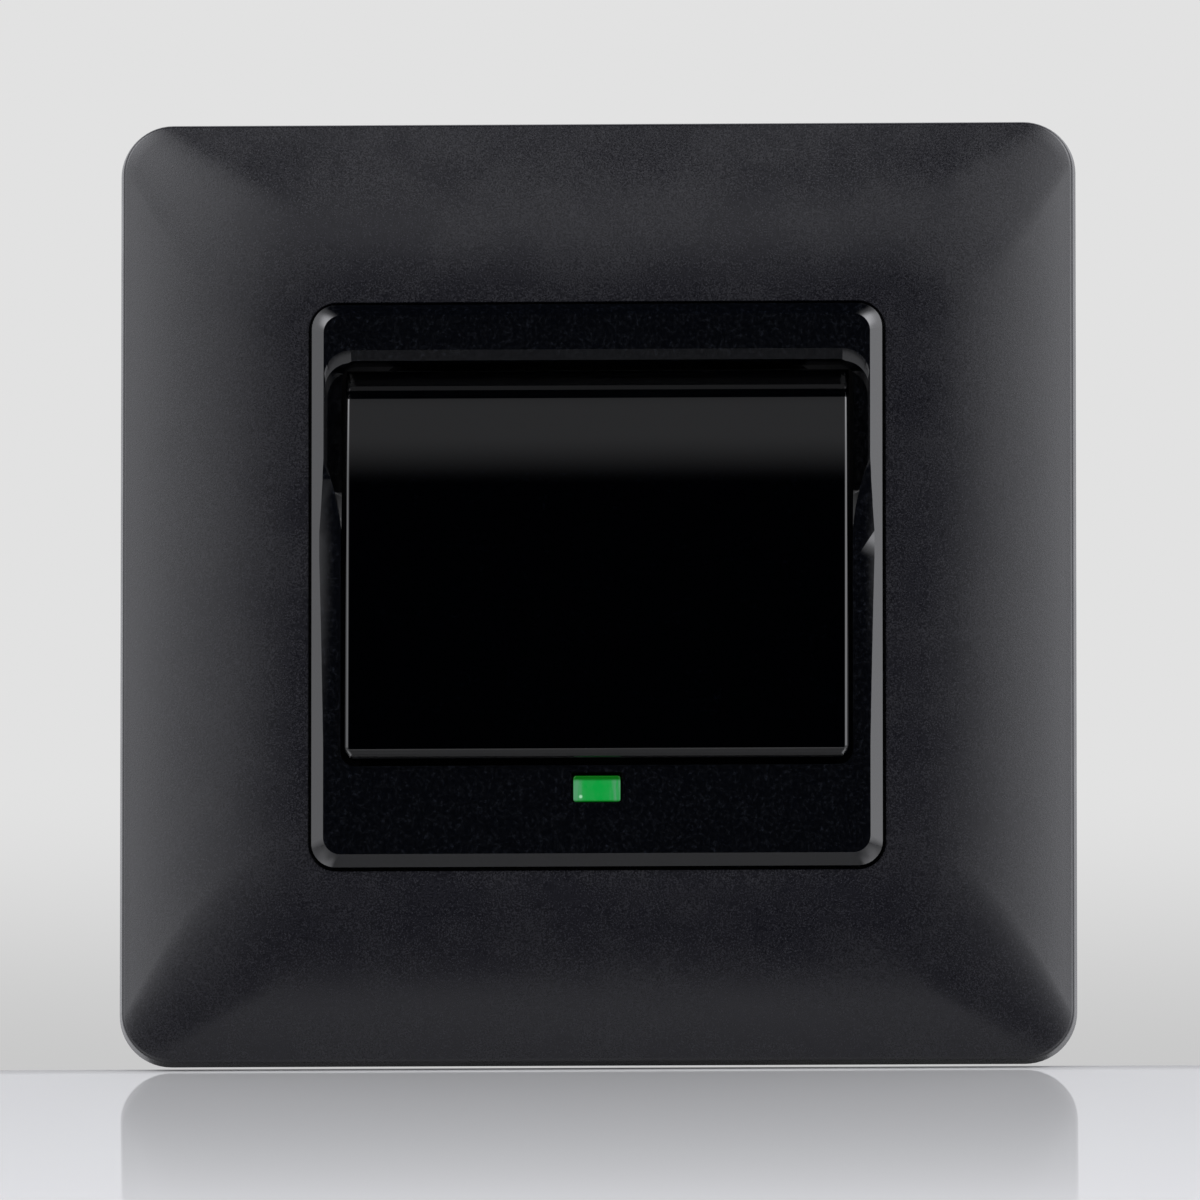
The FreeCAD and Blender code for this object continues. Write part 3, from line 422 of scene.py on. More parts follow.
def board_laminate(name, colour, trace_colour):
    """Solder-masked laminate with copper tracks under the mask."""
    material, tree, shader = start_material(name)
    place = add(tree, "ShaderNodeTexCoord").outputs["Object"]
    upright = add(tree, "ShaderNodeMapping", {"Vector": place, "Rotation": (math.pi / 2, 0, 0)})
    rows = add(tree, "ShaderNodeTexBrick", {
        "Vector": upright.outputs["Vector"], "Scale": 1 / (7 * MM), "Mortar Size": 0.02,
        "Brick Width": 1.3, "Row Height": 0.12,
        "Color1": grey(0.0), "Color2": grey(0.0), "Mortar": grey(1.0)},
        offset=0.37, offset_frequency=3, squash=0.55, squash_frequency=2)
    weave = grain(tree, 0.4 * MM, detail=2.0)
    track = maths(tree, "MULTIPLY", rows.outputs["Fac"], 0.7)
    tint = mix_colours(tree, track, colour, trace_colour)
    tree.links.new(tint, shader.inputs["Base Color"])
    tree.links.new(remap(tree, weave, 0.3, 0.7, 0.3, 0.42), shader.inputs["Roughness"])
    relief(tree, shader, maths(tree, "ADD", track, maths(tree, "MULTIPLY", weave, 0.1)), 0.3, 0.03 * MM)
    return material


def taped_winding():
    """Yellow polyester tape round the transformer, with its lapped edges."""
    material, tree, shader = start_material("transformer_tape")
    place = add(tree, "ShaderNodeTexCoord").outputs["Object"]
    lap = add(tree, "ShaderNodeTexWave", {"Vector": place, "Scale": 1 / (9 * MM), "Distortion": 0.4},
              wave_type="BANDS", bands_direction="Z", wave_profile="SAW").outputs["Fac"]
    crease = grain(tree, 0.8 * MM, detail=3.0)
    tint = mix_colours(tree, remap(tree, lap, 0.0, 0.12), (0.24, 0.14, 0.02, 1), (0.62, 0.42, 0.06, 1))
    tree.links.new(tint, shader.inputs["Base Color"])
    tree.links.new(remap(tree, crease, 0.3, 0.7, 0.2, 0.36), shader.inputs["Roughness"])
    relief(tree, shader, maths(tree, "ADD", lap, crease), 0.2, 0.04 * MM)
    return material


def dress(obj, material, node, body):
    """Gives a finished piece its material, and has it stand for the frame's node."""
    obj.data.materials.clear()
    obj.data.materials.append(material)
    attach(obj, body)
    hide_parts(node)


def give(node_name, material):
    """Puts a material on a node of the frame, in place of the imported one."""
    mesh = nodes[node_name].data
    mesh.materials.clear()
    mesh.materials.append(material)


# Covers

def build_frame(settings):
    """Pillow-shaped cover frame, hollow behind, with a ledge behind the centre plate's edge."""
    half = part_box("outer_frame")[1].x
    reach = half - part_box("centre_plate")[1].x - settings.gap
    corner = settings.corner_radius
    first = settings.rim_draft + settings.edge_round
    last = reach - settings.opening_round
    wall = settings.wall

    def crown(inset):
        start = settings.rim_depth + settings.edge_round
        return start + (settings.crown_depth - start) * (1 - (1 - inset / reach) ** 2)

    def swell(inset):
        share = (inset - first) / (reach - first)
        straight = (corner - first) * (1 - share) + settings.opening_radius * share
        return straight + (settings.ridge_radius - corner) * math.sin(math.pi * share)

    levels = [(0.0, corner, 0.0)]
    for i in range(EDGE_STEPS + 1):
        turn = math.pi / 2 * i / EDGE_STEPS
        inset = settings.rim_draft + settings.edge_round * (1 - math.cos(turn))
        rise = (crown(first) - settings.rim_depth) * math.sin(turn)
        levels.append((inset, corner - inset, settings.rim_depth + rise))
    for i in range(1, CROWN_STEPS + 1):
        inset = first + (last - first) * i / CROWN_STEPS
        levels.append((inset, swell(inset), crown(inset)))
    levels.append((reach, settings.opening_radius, crown(last) - settings.opening_round))
    ledge = reach + settings.ledge_width
    collar = settings.opening_radius + wall
    levels += [
        (reach, settings.opening_radius, settings.ledge_front),
        (ledge, settings.opening_radius, settings.ledge_front - settings.ledge_draft),
        (ledge, settings.opening_radius, settings.ledge_back),
        (reach - wall, collar, settings.ledge_back - settings.ledge_draft),
    ]
    for i in range(HOLLOW_STEPS + 1):
        share = 1 - i / HOLLOW_STEPS
        inset = wall + (reach - 2 * wall) * share
        levels.append((inset, corner - wall + (collar - corner + wall) * share, crown(inset) - wall))
    levels.append((wall, corner - wall, 0.0))
    bm = bmesh.new()
    rings = [square_ring(bm, half - inset, radius, -depth, 14) for inset, radius, depth in levels]
    skin(bm, rings, closed=True)
    return finished(bm, "frame_cover")


def through(a, b, c, steps):
    """Points on the arc from a through b to c."""
    a, b, c = Vector(a), Vector(b), Vector(c)
    ab, ac = b - a, c - a
    area = 2 * (ab.x * ac.y - ab.y * ac.x)
    centre = a + Vector((ac.y * ab.length_squared - ab.y * ac.length_squared,
                         ab.x * ac.length_squared - ac.x * ab.length_squared)) / area
    start = a - centre
    turn = start.angle_signed(c - centre)
    points = []
    for step in range(steps + 1):
        spoke = start.copy()
        spoke.rotate(Matrix.Rotation(-turn * step / steps, 2))
        points.append(tuple(centre + spoke))
    return points


def scoop_outline(settings, hole_half, side_in, top_in):
    """Points of the finger scoop's outline: narrow below, and flaring to its full width."""
    plate_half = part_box("centre_plate")[1].x - settings.play
    narrow = hole_half - side_in / 2
    wide = plate_half - settings.bevel - settings.scoop_border - side_in
    low = PIVOT.z + settings.scoop_above_pivot - settings.scoop_runout / 2
    flare = low + settings.flare_length
    top = plate_half - settings.scoop_top_margin - top_in
    radius = settings.scoop_radius
    bow = (narrow + (wide - narrow) * settings.flare_bow,
           low + settings.flare_length * settings.flare_bow_height)
    right = through((narrow, low), bow, (wide, flare), 14)
    right += arc((wide - radius, top - radius), radius, 0, 90, 10)
    return right + [(-x, z) for x, z in reversed(right)]


def build_scoop(settings, hole_half):
    """Space of the finger scoop in front of its rolled floor, to carve with."""
    lip, drop = settings.scoop_bevel_height, settings.scoop_bevel_drop
    levels = [
        (0.0, 0.0, settings.face_depth + CLEAR),
        (0.0, 0.0, settings.face_depth),
        (settings.scoop_draft * 0.2, lip, settings.face_depth - drop),
        (settings.scoop_draft, lip + settings.scoop_top_draft, settings.floor_depth),
    ]
    bm = bmesh.new()
    rings = []
    for side_in, top_in, depth in levels:
        outline = scoop_outline(settings, hole_half, side_in, top_in)
        points = [bm.verts.new((x, -depth, z)) for x, z in outline]
        rings.append([bm.edges.new(pair) for pair in zip(points, points[1:] + points[:1])])
    skin(bm, rings)
    cap(bm, rings[0])
    cap(bm, rings[-1])
    scoop = finished(bm, "scoop")
    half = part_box("centre_plate")[1].x
    low = PIVOT.z - settings.floor_start
    radius = settings.floor_radius
    middle_y = radius - settings.face_depth
    rolled = []
    for i in range(FLOOR_STEPS + 1):
        z = low - 2 * MM + (half - low + 2 * MM) * i / FLOOR_STEPS
        rolled.append((middle_y - math.sqrt(radius ** 2 - (z - low) ** 2), z))
    rolled += [(5 * MM, half), (5 * MM, low - 2 * MM)]
    carve(scoop, finished(slab(rolled, -half, half), "scoop_floor"))
    return scoop


def side_fall(settings, side):
    """Shallow wedge along one side of the face, deepest below the scoop, to carve with."""
    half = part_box("centre_plate")[1].x - settings.play
    inner = half - settings.bevel - settings.bow_width
    outer = half - settings.bevel + settings.bow_spare
    face, spare = -settings.face_depth, 0.02 * MM
    deepest = settings.bow * (outer - inner) / settings.bow_width
    outline = [(face - CLEAR, settings.bow_low), (face - CLEAR, settings.bow_high)]
    for i in range(FALL_STEPS + 1):
        share = i / FALL_STEPS
        z = settings.bow_high + (settings.bow_low - settings.bow_high) * share
        depth = (deepest + spare) * min(1.0, 4 * share, 1.5 * (1 - share))
        outline.append((face - spare + depth, z))
    bm = slab(outline, side * inner, side * outer)
    for vert in bm.verts:
        if abs(vert.co.x) < inner + spare and vert.co.y > face - 0.5 * MM:
            vert.co.y = face - spare
    return finished(bm, "side_fall")


def add_legs(plate, settings, root, end):
    """Joins the four snap legs, with their hooks, on the plate's back."""
    outer, inner = settings.leg_outer, settings.leg_outer - settings.leg_thick
    nose = settings.leg_nose_start
    legs = [(root, inner), (root, outer), (nose - 0.1 * MM, outer), (nose, outer + settings.leg_nose),
            (end, outer - 0.1 * MM), (end, inner)]
    for x in (-settings.leg_place, settings.leg_place):
        for side in (-1, 1):
            outline = [(y, side * z) for y, z in legs]
            span = (x - settings.leg_width / 2, x + settings.leg_width / 2)
            carve(plate, finished(slab(outline, *span), "leg"), "UNION")


def build_plate(settings, paddle):
    """Gloss centre plate with its bevelled border, finger scoop, paddle hole, window and legs."""
    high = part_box("centre_plate")[1]
    half = high.x - settings.play
    corner = settings.corner_radius
    face, edge, back = -settings.face_depth, -settings.edge_depth, -settings.back_depth
    bm = bmesh.new()
    rings = [
        square_ring(bm, half, corner, back),
        square_ring(bm, half, corner, edge),
        square_ring(bm, half - settings.bevel, corner - settings.bevel * 0.6, face),
    ]
    skin(bm, rings)
    cap(bm, rings[0])
    cap(bm, rings[-1])
    plate = finished(bm, "centre_plate_gloss")
    for side in (-1, 1):
        carve(plate, side_fall(settings, side))
    inner = half - settings.wall
    under = face + settings.skin
    solid_from = PIVOT.z + settings.scoop_above_pivot - settings.scoop_runout
    carve(plate, tube_cut(-inner, inner, -inner, solid_from, corner - 0.4 * MM, under, back + CLEAR))
    hole = paddle.width / 2 + settings.side_gap
    spare = (paddle.face_depth + PIVOT.y) * math.sin(TILT) + settings.end_gap
    carve(plate, tube_cut(-hole, hole, paddle.low_margin - half - spare, half - paddle.top_margin + spare,
                          paddle.corner_radius + settings.end_gap, face - CLEAR, back + CLEAR))
    carve(plate, build_scoop(settings, hole))
    window = settings.window_width / 2
    rise = settings.window_height / 2
    middle = settings.window_margin - half
    carve(plate, tube_cut(-window, window, middle - rise, middle + rise, settings.window_radius,
                          face - CLEAR, back + CLEAR))
    add_legs(plate, settings, under - 0.3 * MM, high.y)
    soften(plate, settings.edge_round)
    even_shading(plate)
    return plate


def leaning():
    """Places what is measured from the pivot as the photographed paddle and its carrier lean."""
    return Matrix.Translation(PIVOT) @ Matrix.Rotation(-TILT, 4, "X")


def paddle_profile(settings, low, high, crease):
    """Side outline of the level paddle: flat, then rolled back to the crease, and stepped above it."""
    face, back = -settings.face_depth, -settings.back_depth
    radius, start = settings.roll_radius, crease - settings.roll_height
    rolled = []
    for i in range(ROLL_STEPS + 1):
        z = start + (crease - start) * i / ROLL_STEPS
        rolled.append((face + radius - math.sqrt(radius ** 2 - (z - start) ** 2), z))
    edge_y = rolled[-1][0]
    step = (edge_y + settings.brow_drop, crease + settings.brow_height)
    land = (step[0] + settings.land_drop, step[1] + settings.land_height)
    outline = [(back, low), (face, low)] + rolled
    crease_at = len(outline) - 1
    outline += [step, land, (back - settings.bevel_lip, high), (back, high)]
    fine = settings.fine_round
    return round_corners(outline, {crease_at: fine, crease_at + 1: 2 * fine, crease_at + 2: fine})


def build_paddle(settings):
    """Gloss paddle, hollow behind, with its ribs, which keep clear of the carrier."""
    plate_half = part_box("centre_plate")[1].x
    low, high = settings.low_margin - plate_half, plate_half - settings.top_margin
    face, back = -settings.face_depth, -settings.back_depth
    crease = high - settings.bevel_height
    half = settings.width / 2
    bm = slab(paddle_profile(settings, low, high, crease), -half, half)
    corners = [edge for edge in bm.edges
               if all(abs(abs(v.co.x) - half) < WELD and abs(v.co.z - low) < WELD for v in edge.verts)]
    bmesh.ops.bevel(bm, geom=corners, offset=settings.corner_radius, segments=6, profile=0.5, affect="EDGES",
                    material=-1)
    front = back - settings.bevel_lip / 2
    rim = [edge for edge in bm.edges
           if all(v.co.y < front for v in edge.verts) and edge.calc_face_angle(0.0) >= math.radians(60)]
    bmesh.ops.bevel(bm, geom=rim, offset=settings.rim_round, segments=5, profile=0.5, affect="EDGES",
                    material=-1)
    paddle = finished(bm, "paddle_gloss")
    wall = settings.wall
    carve(paddle, block(-half + wall, half - wall, face + wall, back + CLEAR, low + wall, crease - wall))
    root = face + wall - 0.2 * MM
    for x in (-settings.rib_place, settings.rib_place):
        for z0, z1 in ((low + wall / 2, PIVOT.z - settings.rib_stop),
                       (PIVOT.z + settings.rib_stop, crease - wall / 2)):
            carve(paddle, block(x - settings.rib / 2, x + settings.rib / 2, root, back, z0, z1), "UNION")
    paddle.data.transform(leaning() @ Matrix.Translation(-PIVOT))
    even_shading(paddle)
    return paddle


def build_window(settings, plate):
    """Lens block with a softly rounded front, on the flange that holds it behind the plate."""
    low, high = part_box("indicator_lens")
    middle = (low.z + high.z) / 2
    half, rise = plate.window_width / 2 - settings.play, plate.window_height / 2 - settings.play
    round_by = settings.edge_round
    seat = plate.skin - plate.face_depth
    flange_half, flange_rise = high.x, (high.z - low.z) / 2
    radius = plate.window_radius
    bm = bmesh.new()
    rings = []
    for grow_w, grow_h, y, r in (
            (flange_half - half, flange_rise - rise, high.y, 0.1 * MM),
            (flange_half - half, flange_rise - rise, seat, 0.1 * MM),
            (0.0, 0.0, seat - 0.02 * MM, radius),
            (0.0, 0.0, low.y + round_by, radius),
            (-round_by * 0.3, -round_by * 0.3, low.y + round_by * 0.3, radius),
            (-round_by, -round_by, low.y, radius * 0.6)):
        wide, tall = half + grow_w, rise + grow_h
        rings.append(ring(bm, -wide, wide, middle - tall, middle + tall, r, y, 5))
    skin(bm, rings)
    cap(bm, rings[0])
    cap(bm, rings[-1])
    lens = finished(bm, "window_lens")
    even_shading(lens)
    return lens


def build_spring(settings):
    """Steel coil in the carrier's barrel, which presses the plunger out."""
    bm = bmesh.new()
    across = Matrix.Translation((settings.coil_radius, 0.0, 0.0)) @ FRONT
    bmesh.ops.create_circle(bm, segments=8, radius=settings.wire, matrix=across)
    start = list(bm.edges)
    steps = settings.turns * COIL_STEPS
    rise = (settings.end - settings.start) / steps
    spun = bmesh.ops.spin(bm, geom=bm.verts[:] + start, cent=(0.0, 0.0, 0.0), axis=(0.0, 0.0, 1.0),
                          dvec=(0.0, 0.0, rise), angle=2 * math.pi * settings.turns, steps=steps)
    cap(bm, start)
    cap(bm, [edge for edge in spun["geom_last"] if isinstance(edge, bmesh.types.BMEdge)])
    seat = Matrix.Translation((0.0, settings.start, 0.0)) @ FRONT.inverted()
    bmesh.ops.transform(bm, verts=bm.verts, matrix=leaning() @ seat)
    return finished(bm, "coil_spring")


# Settings

def length(name, size, description):
    """A length property, with its usual value in millimetres."""
    return bpy.props.FloatProperty(name=name, description=description, default=size * MM, min=0.0, max=1.0,
                                   precision=5, subtype="DISTANCE", unit="LENGTH")


def coordinate(name, size, description):
    """A place along an axis, with its usual value in millimetres."""
    return bpy.props.FloatProperty(name=name, description=description, default=size * MM,
                                   precision=5, subtype="DISTANCE", unit="LENGTH")


def distance(name, size, description):
    """A distance in the studio, with its usual value in metres."""
    return bpy.props.FloatProperty(name=name, description=description, default=size, min=0.5, max=20.0,
                                   subtype="DISTANCE", unit="LENGTH")


def angle(name, degrees, description):
    return bpy.props.FloatProperty(name=name, description=description, default=math.radians(degrees),
                                   subtype="ANGLE", unit="ROTATION")


def level(name, value, description):
    return bpy.props.FloatProperty(name=name, description=description, default=value, min=0.0)


def colour(name, value, description):
    return bpy.props.FloatVectorProperty(name=name, description=description, subtype="COLOR", size=4,
                                         default=value, min=0.0, max=2.0)


class FrameSettings(bpy.types.PropertyGroup):
    colour_low: colour("Colour in the pits", (0.0023, 0.0023, 0.0042, 1.0), "Colour between the specks")
    colour_high: colour("Colour on the specks", (0.01, 0.01, 0.014, 1.0), "Colour on top of the specks")
    shine: level("Shine", 0.78, "Specular level of the frame's plastic")
    speckle_size: length("Speckle size", 0.14, "Size of the moulded speckle")
    corner_radius: length("Corner radius", 4.7, "Outer corners, seen from the front")
    rim_depth: length("Rim depth", 1.1, "Height of the straight rim against the wall")
    rim_draft: length("Rim draft", 0.2, "How far the rim leans in")
    edge_round: length("Edge round", 0.3, "Rounding between the rim and the crown")
    crown_depth: length("Crown depth", 4.4, "Height of the crown above the wall")
    ridge_radius: length("Ridge radius", 9.0, "Corner radius of the crown halfway in")
    wall: length("Wall", 1.3, "Thickness of the shell")
    gap: length("Gap", 0.23, "Gap round the centre plate's box")
    opening_radius: length("Opening radius", 2.53, "Corners of the opening")
    opening_round: length("Opening chamfer", 0.05, "Chamfer of the opening's edge")
    ledge_width: length("Ledge width", 1.4, "Ledge that the centre plate's edge rests on")
    ledge_front: length("Ledge front", 2.2, "Height of the ledge's front above the wall")
    ledge_back: length("Ledge back", 1.4, "Height of the ledge's back above the wall")
    ledge_draft: length("Ledge draft", 0.03, "Slope across the ledge's two faces")


class PlateSettings(bpy.types.PropertyGroup):
    corner_radius: length("Corner radius", 2.2, "Corners, seen from the front")
    play: length("Play", 0.05, "How much narrower than its box the plate is, at each side")
    edge_depth: length("Edge depth", 4.8, "Height of the straight edge above the wall")
    face_depth: length("Face depth", 5.5, "Height of the face above the wall")
    back_depth: length("Back depth", 2.25, "Height of the plate's back above the wall")
    bevel: length("Bevel", 1.07, "Width of the bevel round the face")
    bow: length("Bow", 0.19, "How far the face falls towards its bevel")
    bow_width: length("Bow width", 1.3, "Width of the strip in which it falls")
    bow_spare: length("Bow spare", 0.4, "How far the wedge reaches over the bevel")
    bow_low: coordinate("Bow's lower end", -17.0, "Height of the strip's lower end over the middle")
    bow_high: coordinate("Bow's upper end", 12.0, "Height of the strip's upper end over the middle")
    wall: length("Wall", 1.4, "Thickness of the side walls")
    skin: length("Skin", 1.5, "Thickness behind the face")
    side_gap: length("Side gap", 0.4, "Gap at each side of the paddle")
    end_gap: length("End gap", 0.3, "Least gap above and below the swinging paddle")
    edge_round: length("Edge round", 0.05, "Rounding of the moulded edges")
    scoop_top_margin: length("Scoop top margin", 4.25, "Face left above the scoop")
    scoop_border: length("Scoop border", 0.06, "Face left at each side of the scoop")
    scoop_above_pivot: length("Scoop start", 1.05, "Where the scoop's floor leaves the face, above the pivot")
    scoop_runout: length("Scoop runout", 1.5, "How far below that its cylinder's axis lies")
    scoop_radius: length("Scoop corner radius", 2.4, "Upper corners of the scoop")
    scoop_bevel_height: length("Scoop bevel height", 1.1, "Height of the bevel over the scoop")
    scoop_bevel_drop: length("Scoop bevel drop", 0.247, "Depth of the bevel over the scoop")
    scoop_draft: length("Scoop side draft", 0.2, "How far the scoop's side walls lean in")
    scoop_top_draft: length("Scoop top draft", 0.4, "How far the scoop's top wall leans in")
    flare_length: length("Flare length", 9.0, "Height in which the scoop widens")
    floor_start: length("Floor start", 5.0, "How far below the pivot the scoop's floor starts to roll")
    floor_radius: length("Floor radius", 30.0, "Radius of the scoop's rolled floor")
    floor_depth: length("Floor depth", 3.0, "Height of the scoop's deepest edge above the wall")
    window_width: length("Window width", 4.62, "Width of the status window")
    window_height: length("Window height", 2.73, "Height of the status window")
    window_margin: length("Window margin", 7.08, "From the plate's lower edge to the window's middle")
    window_radius: length("Window radius", 0.25, "Corners of the status window")
    leg_place: length("Leg place", 12.0, "From the middle to each snap leg")
    leg_width: length("Leg width", 4.0, "Width of a snap leg")
    leg_outer: length("Leg outer", 21.5, "From the middle to a leg's outer side")
    leg_thick: length("Leg thickness", 0.8, "Thickness of a snap leg")
    leg_nose: length("Leg nose", 0.7, "How far a leg's hook stands out")
    leg_nose_start: length("Leg nose start", 1.6, "How far behind the wall's surface the hook starts")
    flare_bow: level("Flare bow", 0.3, "Share of the flare's width reached at its bow")
    flare_bow_height: level("Flare bow height", 0.62, "Share of the flare's height at its bow")


class PaddleSettings(bpy.types.PropertyGroup):
    width: length("Width", 45.2, "Width of the paddle")
    top_margin: length("Top margin", 5.65, "From the plate's upper edge to the level paddle")
    low_margin: length("Low margin", 9.55, "From the plate's lower edge to the level paddle")
    face_depth: length("Face depth", 5.8, "Height of the level face above the wall")
    back_depth: length("Back depth", 3.25, "Height of the level paddle's back above the wall")
    bevel_height: length("Bevel height", 3.0, "From the crease to the upper edge")
    bevel_lip: length("Bevel lip", 0.25, "Thickness left at the upper edge")
    brow_drop: length("Brow drop", 0.75, "Depth of the steep brow above the crease")
    brow_height: length("Brow height", 0.9, "Height of the steep brow above the crease")
    land_drop: length("Land drop", 0.12, "Depth of the flat land above the brow")
    land_height: length("Land height", 0.45, "Height of the flat land above the brow")
    roll_height: length("Roll height", 8.2, "Height of the rolled part below the crease")
    roll_radius: length("Roll radius", 62.0, "Radius of the rolled part")
    corner_radius: length("Corner radius", 1.0, "Lower corners, seen from the front")
    rim_round: length("Rim round", 0.36, "Rounding of the front rim")
    fine_round: length("Fine round", 0.12, "Rounding of the crease")
    wall: length("Wall", 1.4, "Thickness of the shell")
    rib: length("Rib", 1.0, "Thickness of the ribs behind")
    rib_place: length("Rib place", 7.0, "From the middle to each rib")
    rib_stop: length("Rib stop", 3.85, "How far the ribs keep from the pivot")


class SpringSettings(bpy.types.PropertyGroup):
    coil_radius: length("Coil radius", 1.125, "From the coil's axis to the middle of its wire")
    wire: length("Wire", 0.15, "Half the thickness of the wire")
    start: length("Start", 1.58, "From the pivot to the coil's fixed end")
    end: length("End", 4.02, "From the pivot to the coil's end at the plunger")
    turns: bpy.props.IntProperty(name="Turns", description="Number of turns", default=4, min=1, max=20)


class GlossSettings(bpy.types.PropertyGroup):
    wave_size: length("Mould wave", 14.0, "Length of the faint waves in the gloss")
    shine: level("Shine", 0.78, "Specular level of the gloss plastic")
    plate_dust: level("Plate dust", 0.006, "Linear tone of the fine dust on the centre plate")
    plate_blur: level("Plate blur", 0.14, "Roughness of the centre plate's gloss")
    paddle_dust: level("Paddle dust", 0.0015, "Linear tone of the fine dust on the paddle")
    paddle_blur: level("Paddle blur", 0.035, "Roughness of the paddle's gloss")


class WindowSettings(bpy.types.PropertyGroup):
    colour: colour("Green", (0.001, 0.27, 0.036, 1.0), "Colour of the lit window")
    colour_pale: colour("Pale green", (0.07, 0.26, 0.12, 1.0), "Colour of the streaks")
    # Painted shade: the dark green painted under the window's top edge and along its lower edge.
    painted_shade_green: colour("Dark green", (0.0, 0.1, 0.003, 1.0), "Colour under the window's top edge")
    colour_spot: colour("Spot", (0.3, 0.62, 0.38, 1.0), "Colour of the small bright spot")
    play: length("Play", 0.2, "Gap round the lens")
    edge_round: length("Edge round", 0.12, "Rounding of the lens")
    glow: level("Glow", 1.0, "Strength of the light from the window")


class StudioSettings(bpy.types.PropertyGroup):
    azimuth: angle("Azimuth", 1.5, "Side from which the camera looks")
    elevation: angle("Elevation", -10.0, "Height from which the camera looks")
    camera_distance: distance("Distance", 3.5, "From the camera to the switch")
    view_width: length("View width", 107.95, "Width that the picture shows at the wall's plane")
    aim_right: coordinate("Aim right", 0.148, "How far the picture's middle is right of the switch's")
    aim_up: coordinate("Aim up", -0.535, "How far the picture's middle is above the switch's")
    background: level("Background", 0.76, "Linear level of the pale background")
    # Painted shade of the backdrop at the horizon, and the elevations over which it fades to the background.
    horizon: level("Horizon", 0.58, "Linear level of the background where the floor begins")
    horizon_low: level("Horizon low", 9.28, "Elevation in degrees at which the background is darkest")
    horizon_high: level("Horizon high", 9.74, "Elevation in degrees above which the background is even")
    surround: level("Surround", 0.51, "Level of the soft light from all round")
    behind: level("Behind", 0.29, "Level that the backdrop's light adds behind the switch")
    left_level: level("Left bank", 1.03, "Level that the left bank adds")
    right_level: level("Right bank", 1.92, "Level that the right bank adds")
    left_fan: level("Left fan", 0.85, "Level of the inner part of the left bank")
    right_fan: level("Right fan", 0.92, "Level of the inner part of the right bank")
    left_corner: level("Left corner", 2.3, "Level of the raised light at the upper left")
    right_corner: level("Right corner", 1.95, "Level of the raised light at the upper right")
    overhead: level("Overhead", 0.6, "Level of the light over the backdrop")
    band_level: level("High band", 0.32, "Level of the band high over the camera")
    box_level: level("Front box", 0.333, "Level of the small box over the camera")
    light_tint: colour("Light tint", (0.985, 0.99, 1.03, 1.0), "Tint of the studio's light")
    floor_tilt: angle("Floor tilt", 14.0, "Slope of the floor in front of the upright switch")
    floor_reach: distance("Floor reach", 4.0, "Half the width of the floor")
    # Width of the painted contact shadow on the floor, and of the strip where the floor's gloss fades out.
    contact_length: length("Contact length", 5.0, "Width of the darker strip of floor at the switch")
    gloss_length: length("Gloss length", 170.0, "Distance over which the floor's gloss fades")
    gloss_far: level("Gloss far", 0.38, "Share of the floor's mirror gloss at the switch")
    gloss_near: level("Gloss near", 0.02, "Share of the floor's mirror gloss near the viewer")
    bounce_near: level("Bounce near", 0.8, "Share of the floor's tone that lights the switch, close to it")
    bounce_far: level("Bounce far", 0.15, "Share of the floor's tone that lights the switch, from far away")
    # Ends of the painted shading on the floor: darker at the switch, paler near the viewer.
    floor_far: level("Floor far", 0.47, "Tone of the floor at the switch")
    floor_near: level("Floor near", 0.625, "Tone of the floor near the viewer")


# Stage

def camera_axes(settings):
    """Unit vectors from the switch to the camera, to the picture's right and up."""
    a, e = settings.azimuth, settings.elevation
    back = Vector((math.sin(a) * math.cos(e), -math.cos(a) * math.cos(e), math.sin(e)))
    right = Vector((math.cos(a), math.sin(a), 0.0))
    return back, right, back.cross(right)


def place_camera(settings):
    back, right, up = camera_axes(settings)
    aim = right * settings.aim_right + up * settings.aim_up
    data = bpy.data.cameras.new("camera")
    data.lens = data.sensor_width * settings.camera_distance / settings.view_width
    data.clip_start = 0.1
    data.clip_end = 20.0
    camera = bpy.data.objects.new("camera", data)
    bpy.context.scene.collection.objects.link(camera)
    camera.rotation_mode = "QUATERNION"
    camera.location = aim + back * settings.camera_distance
    camera.rotation_quaternion = Matrix((right, up, back)).transposed().to_quaternion()
    bpy.context.scene.camera = camera


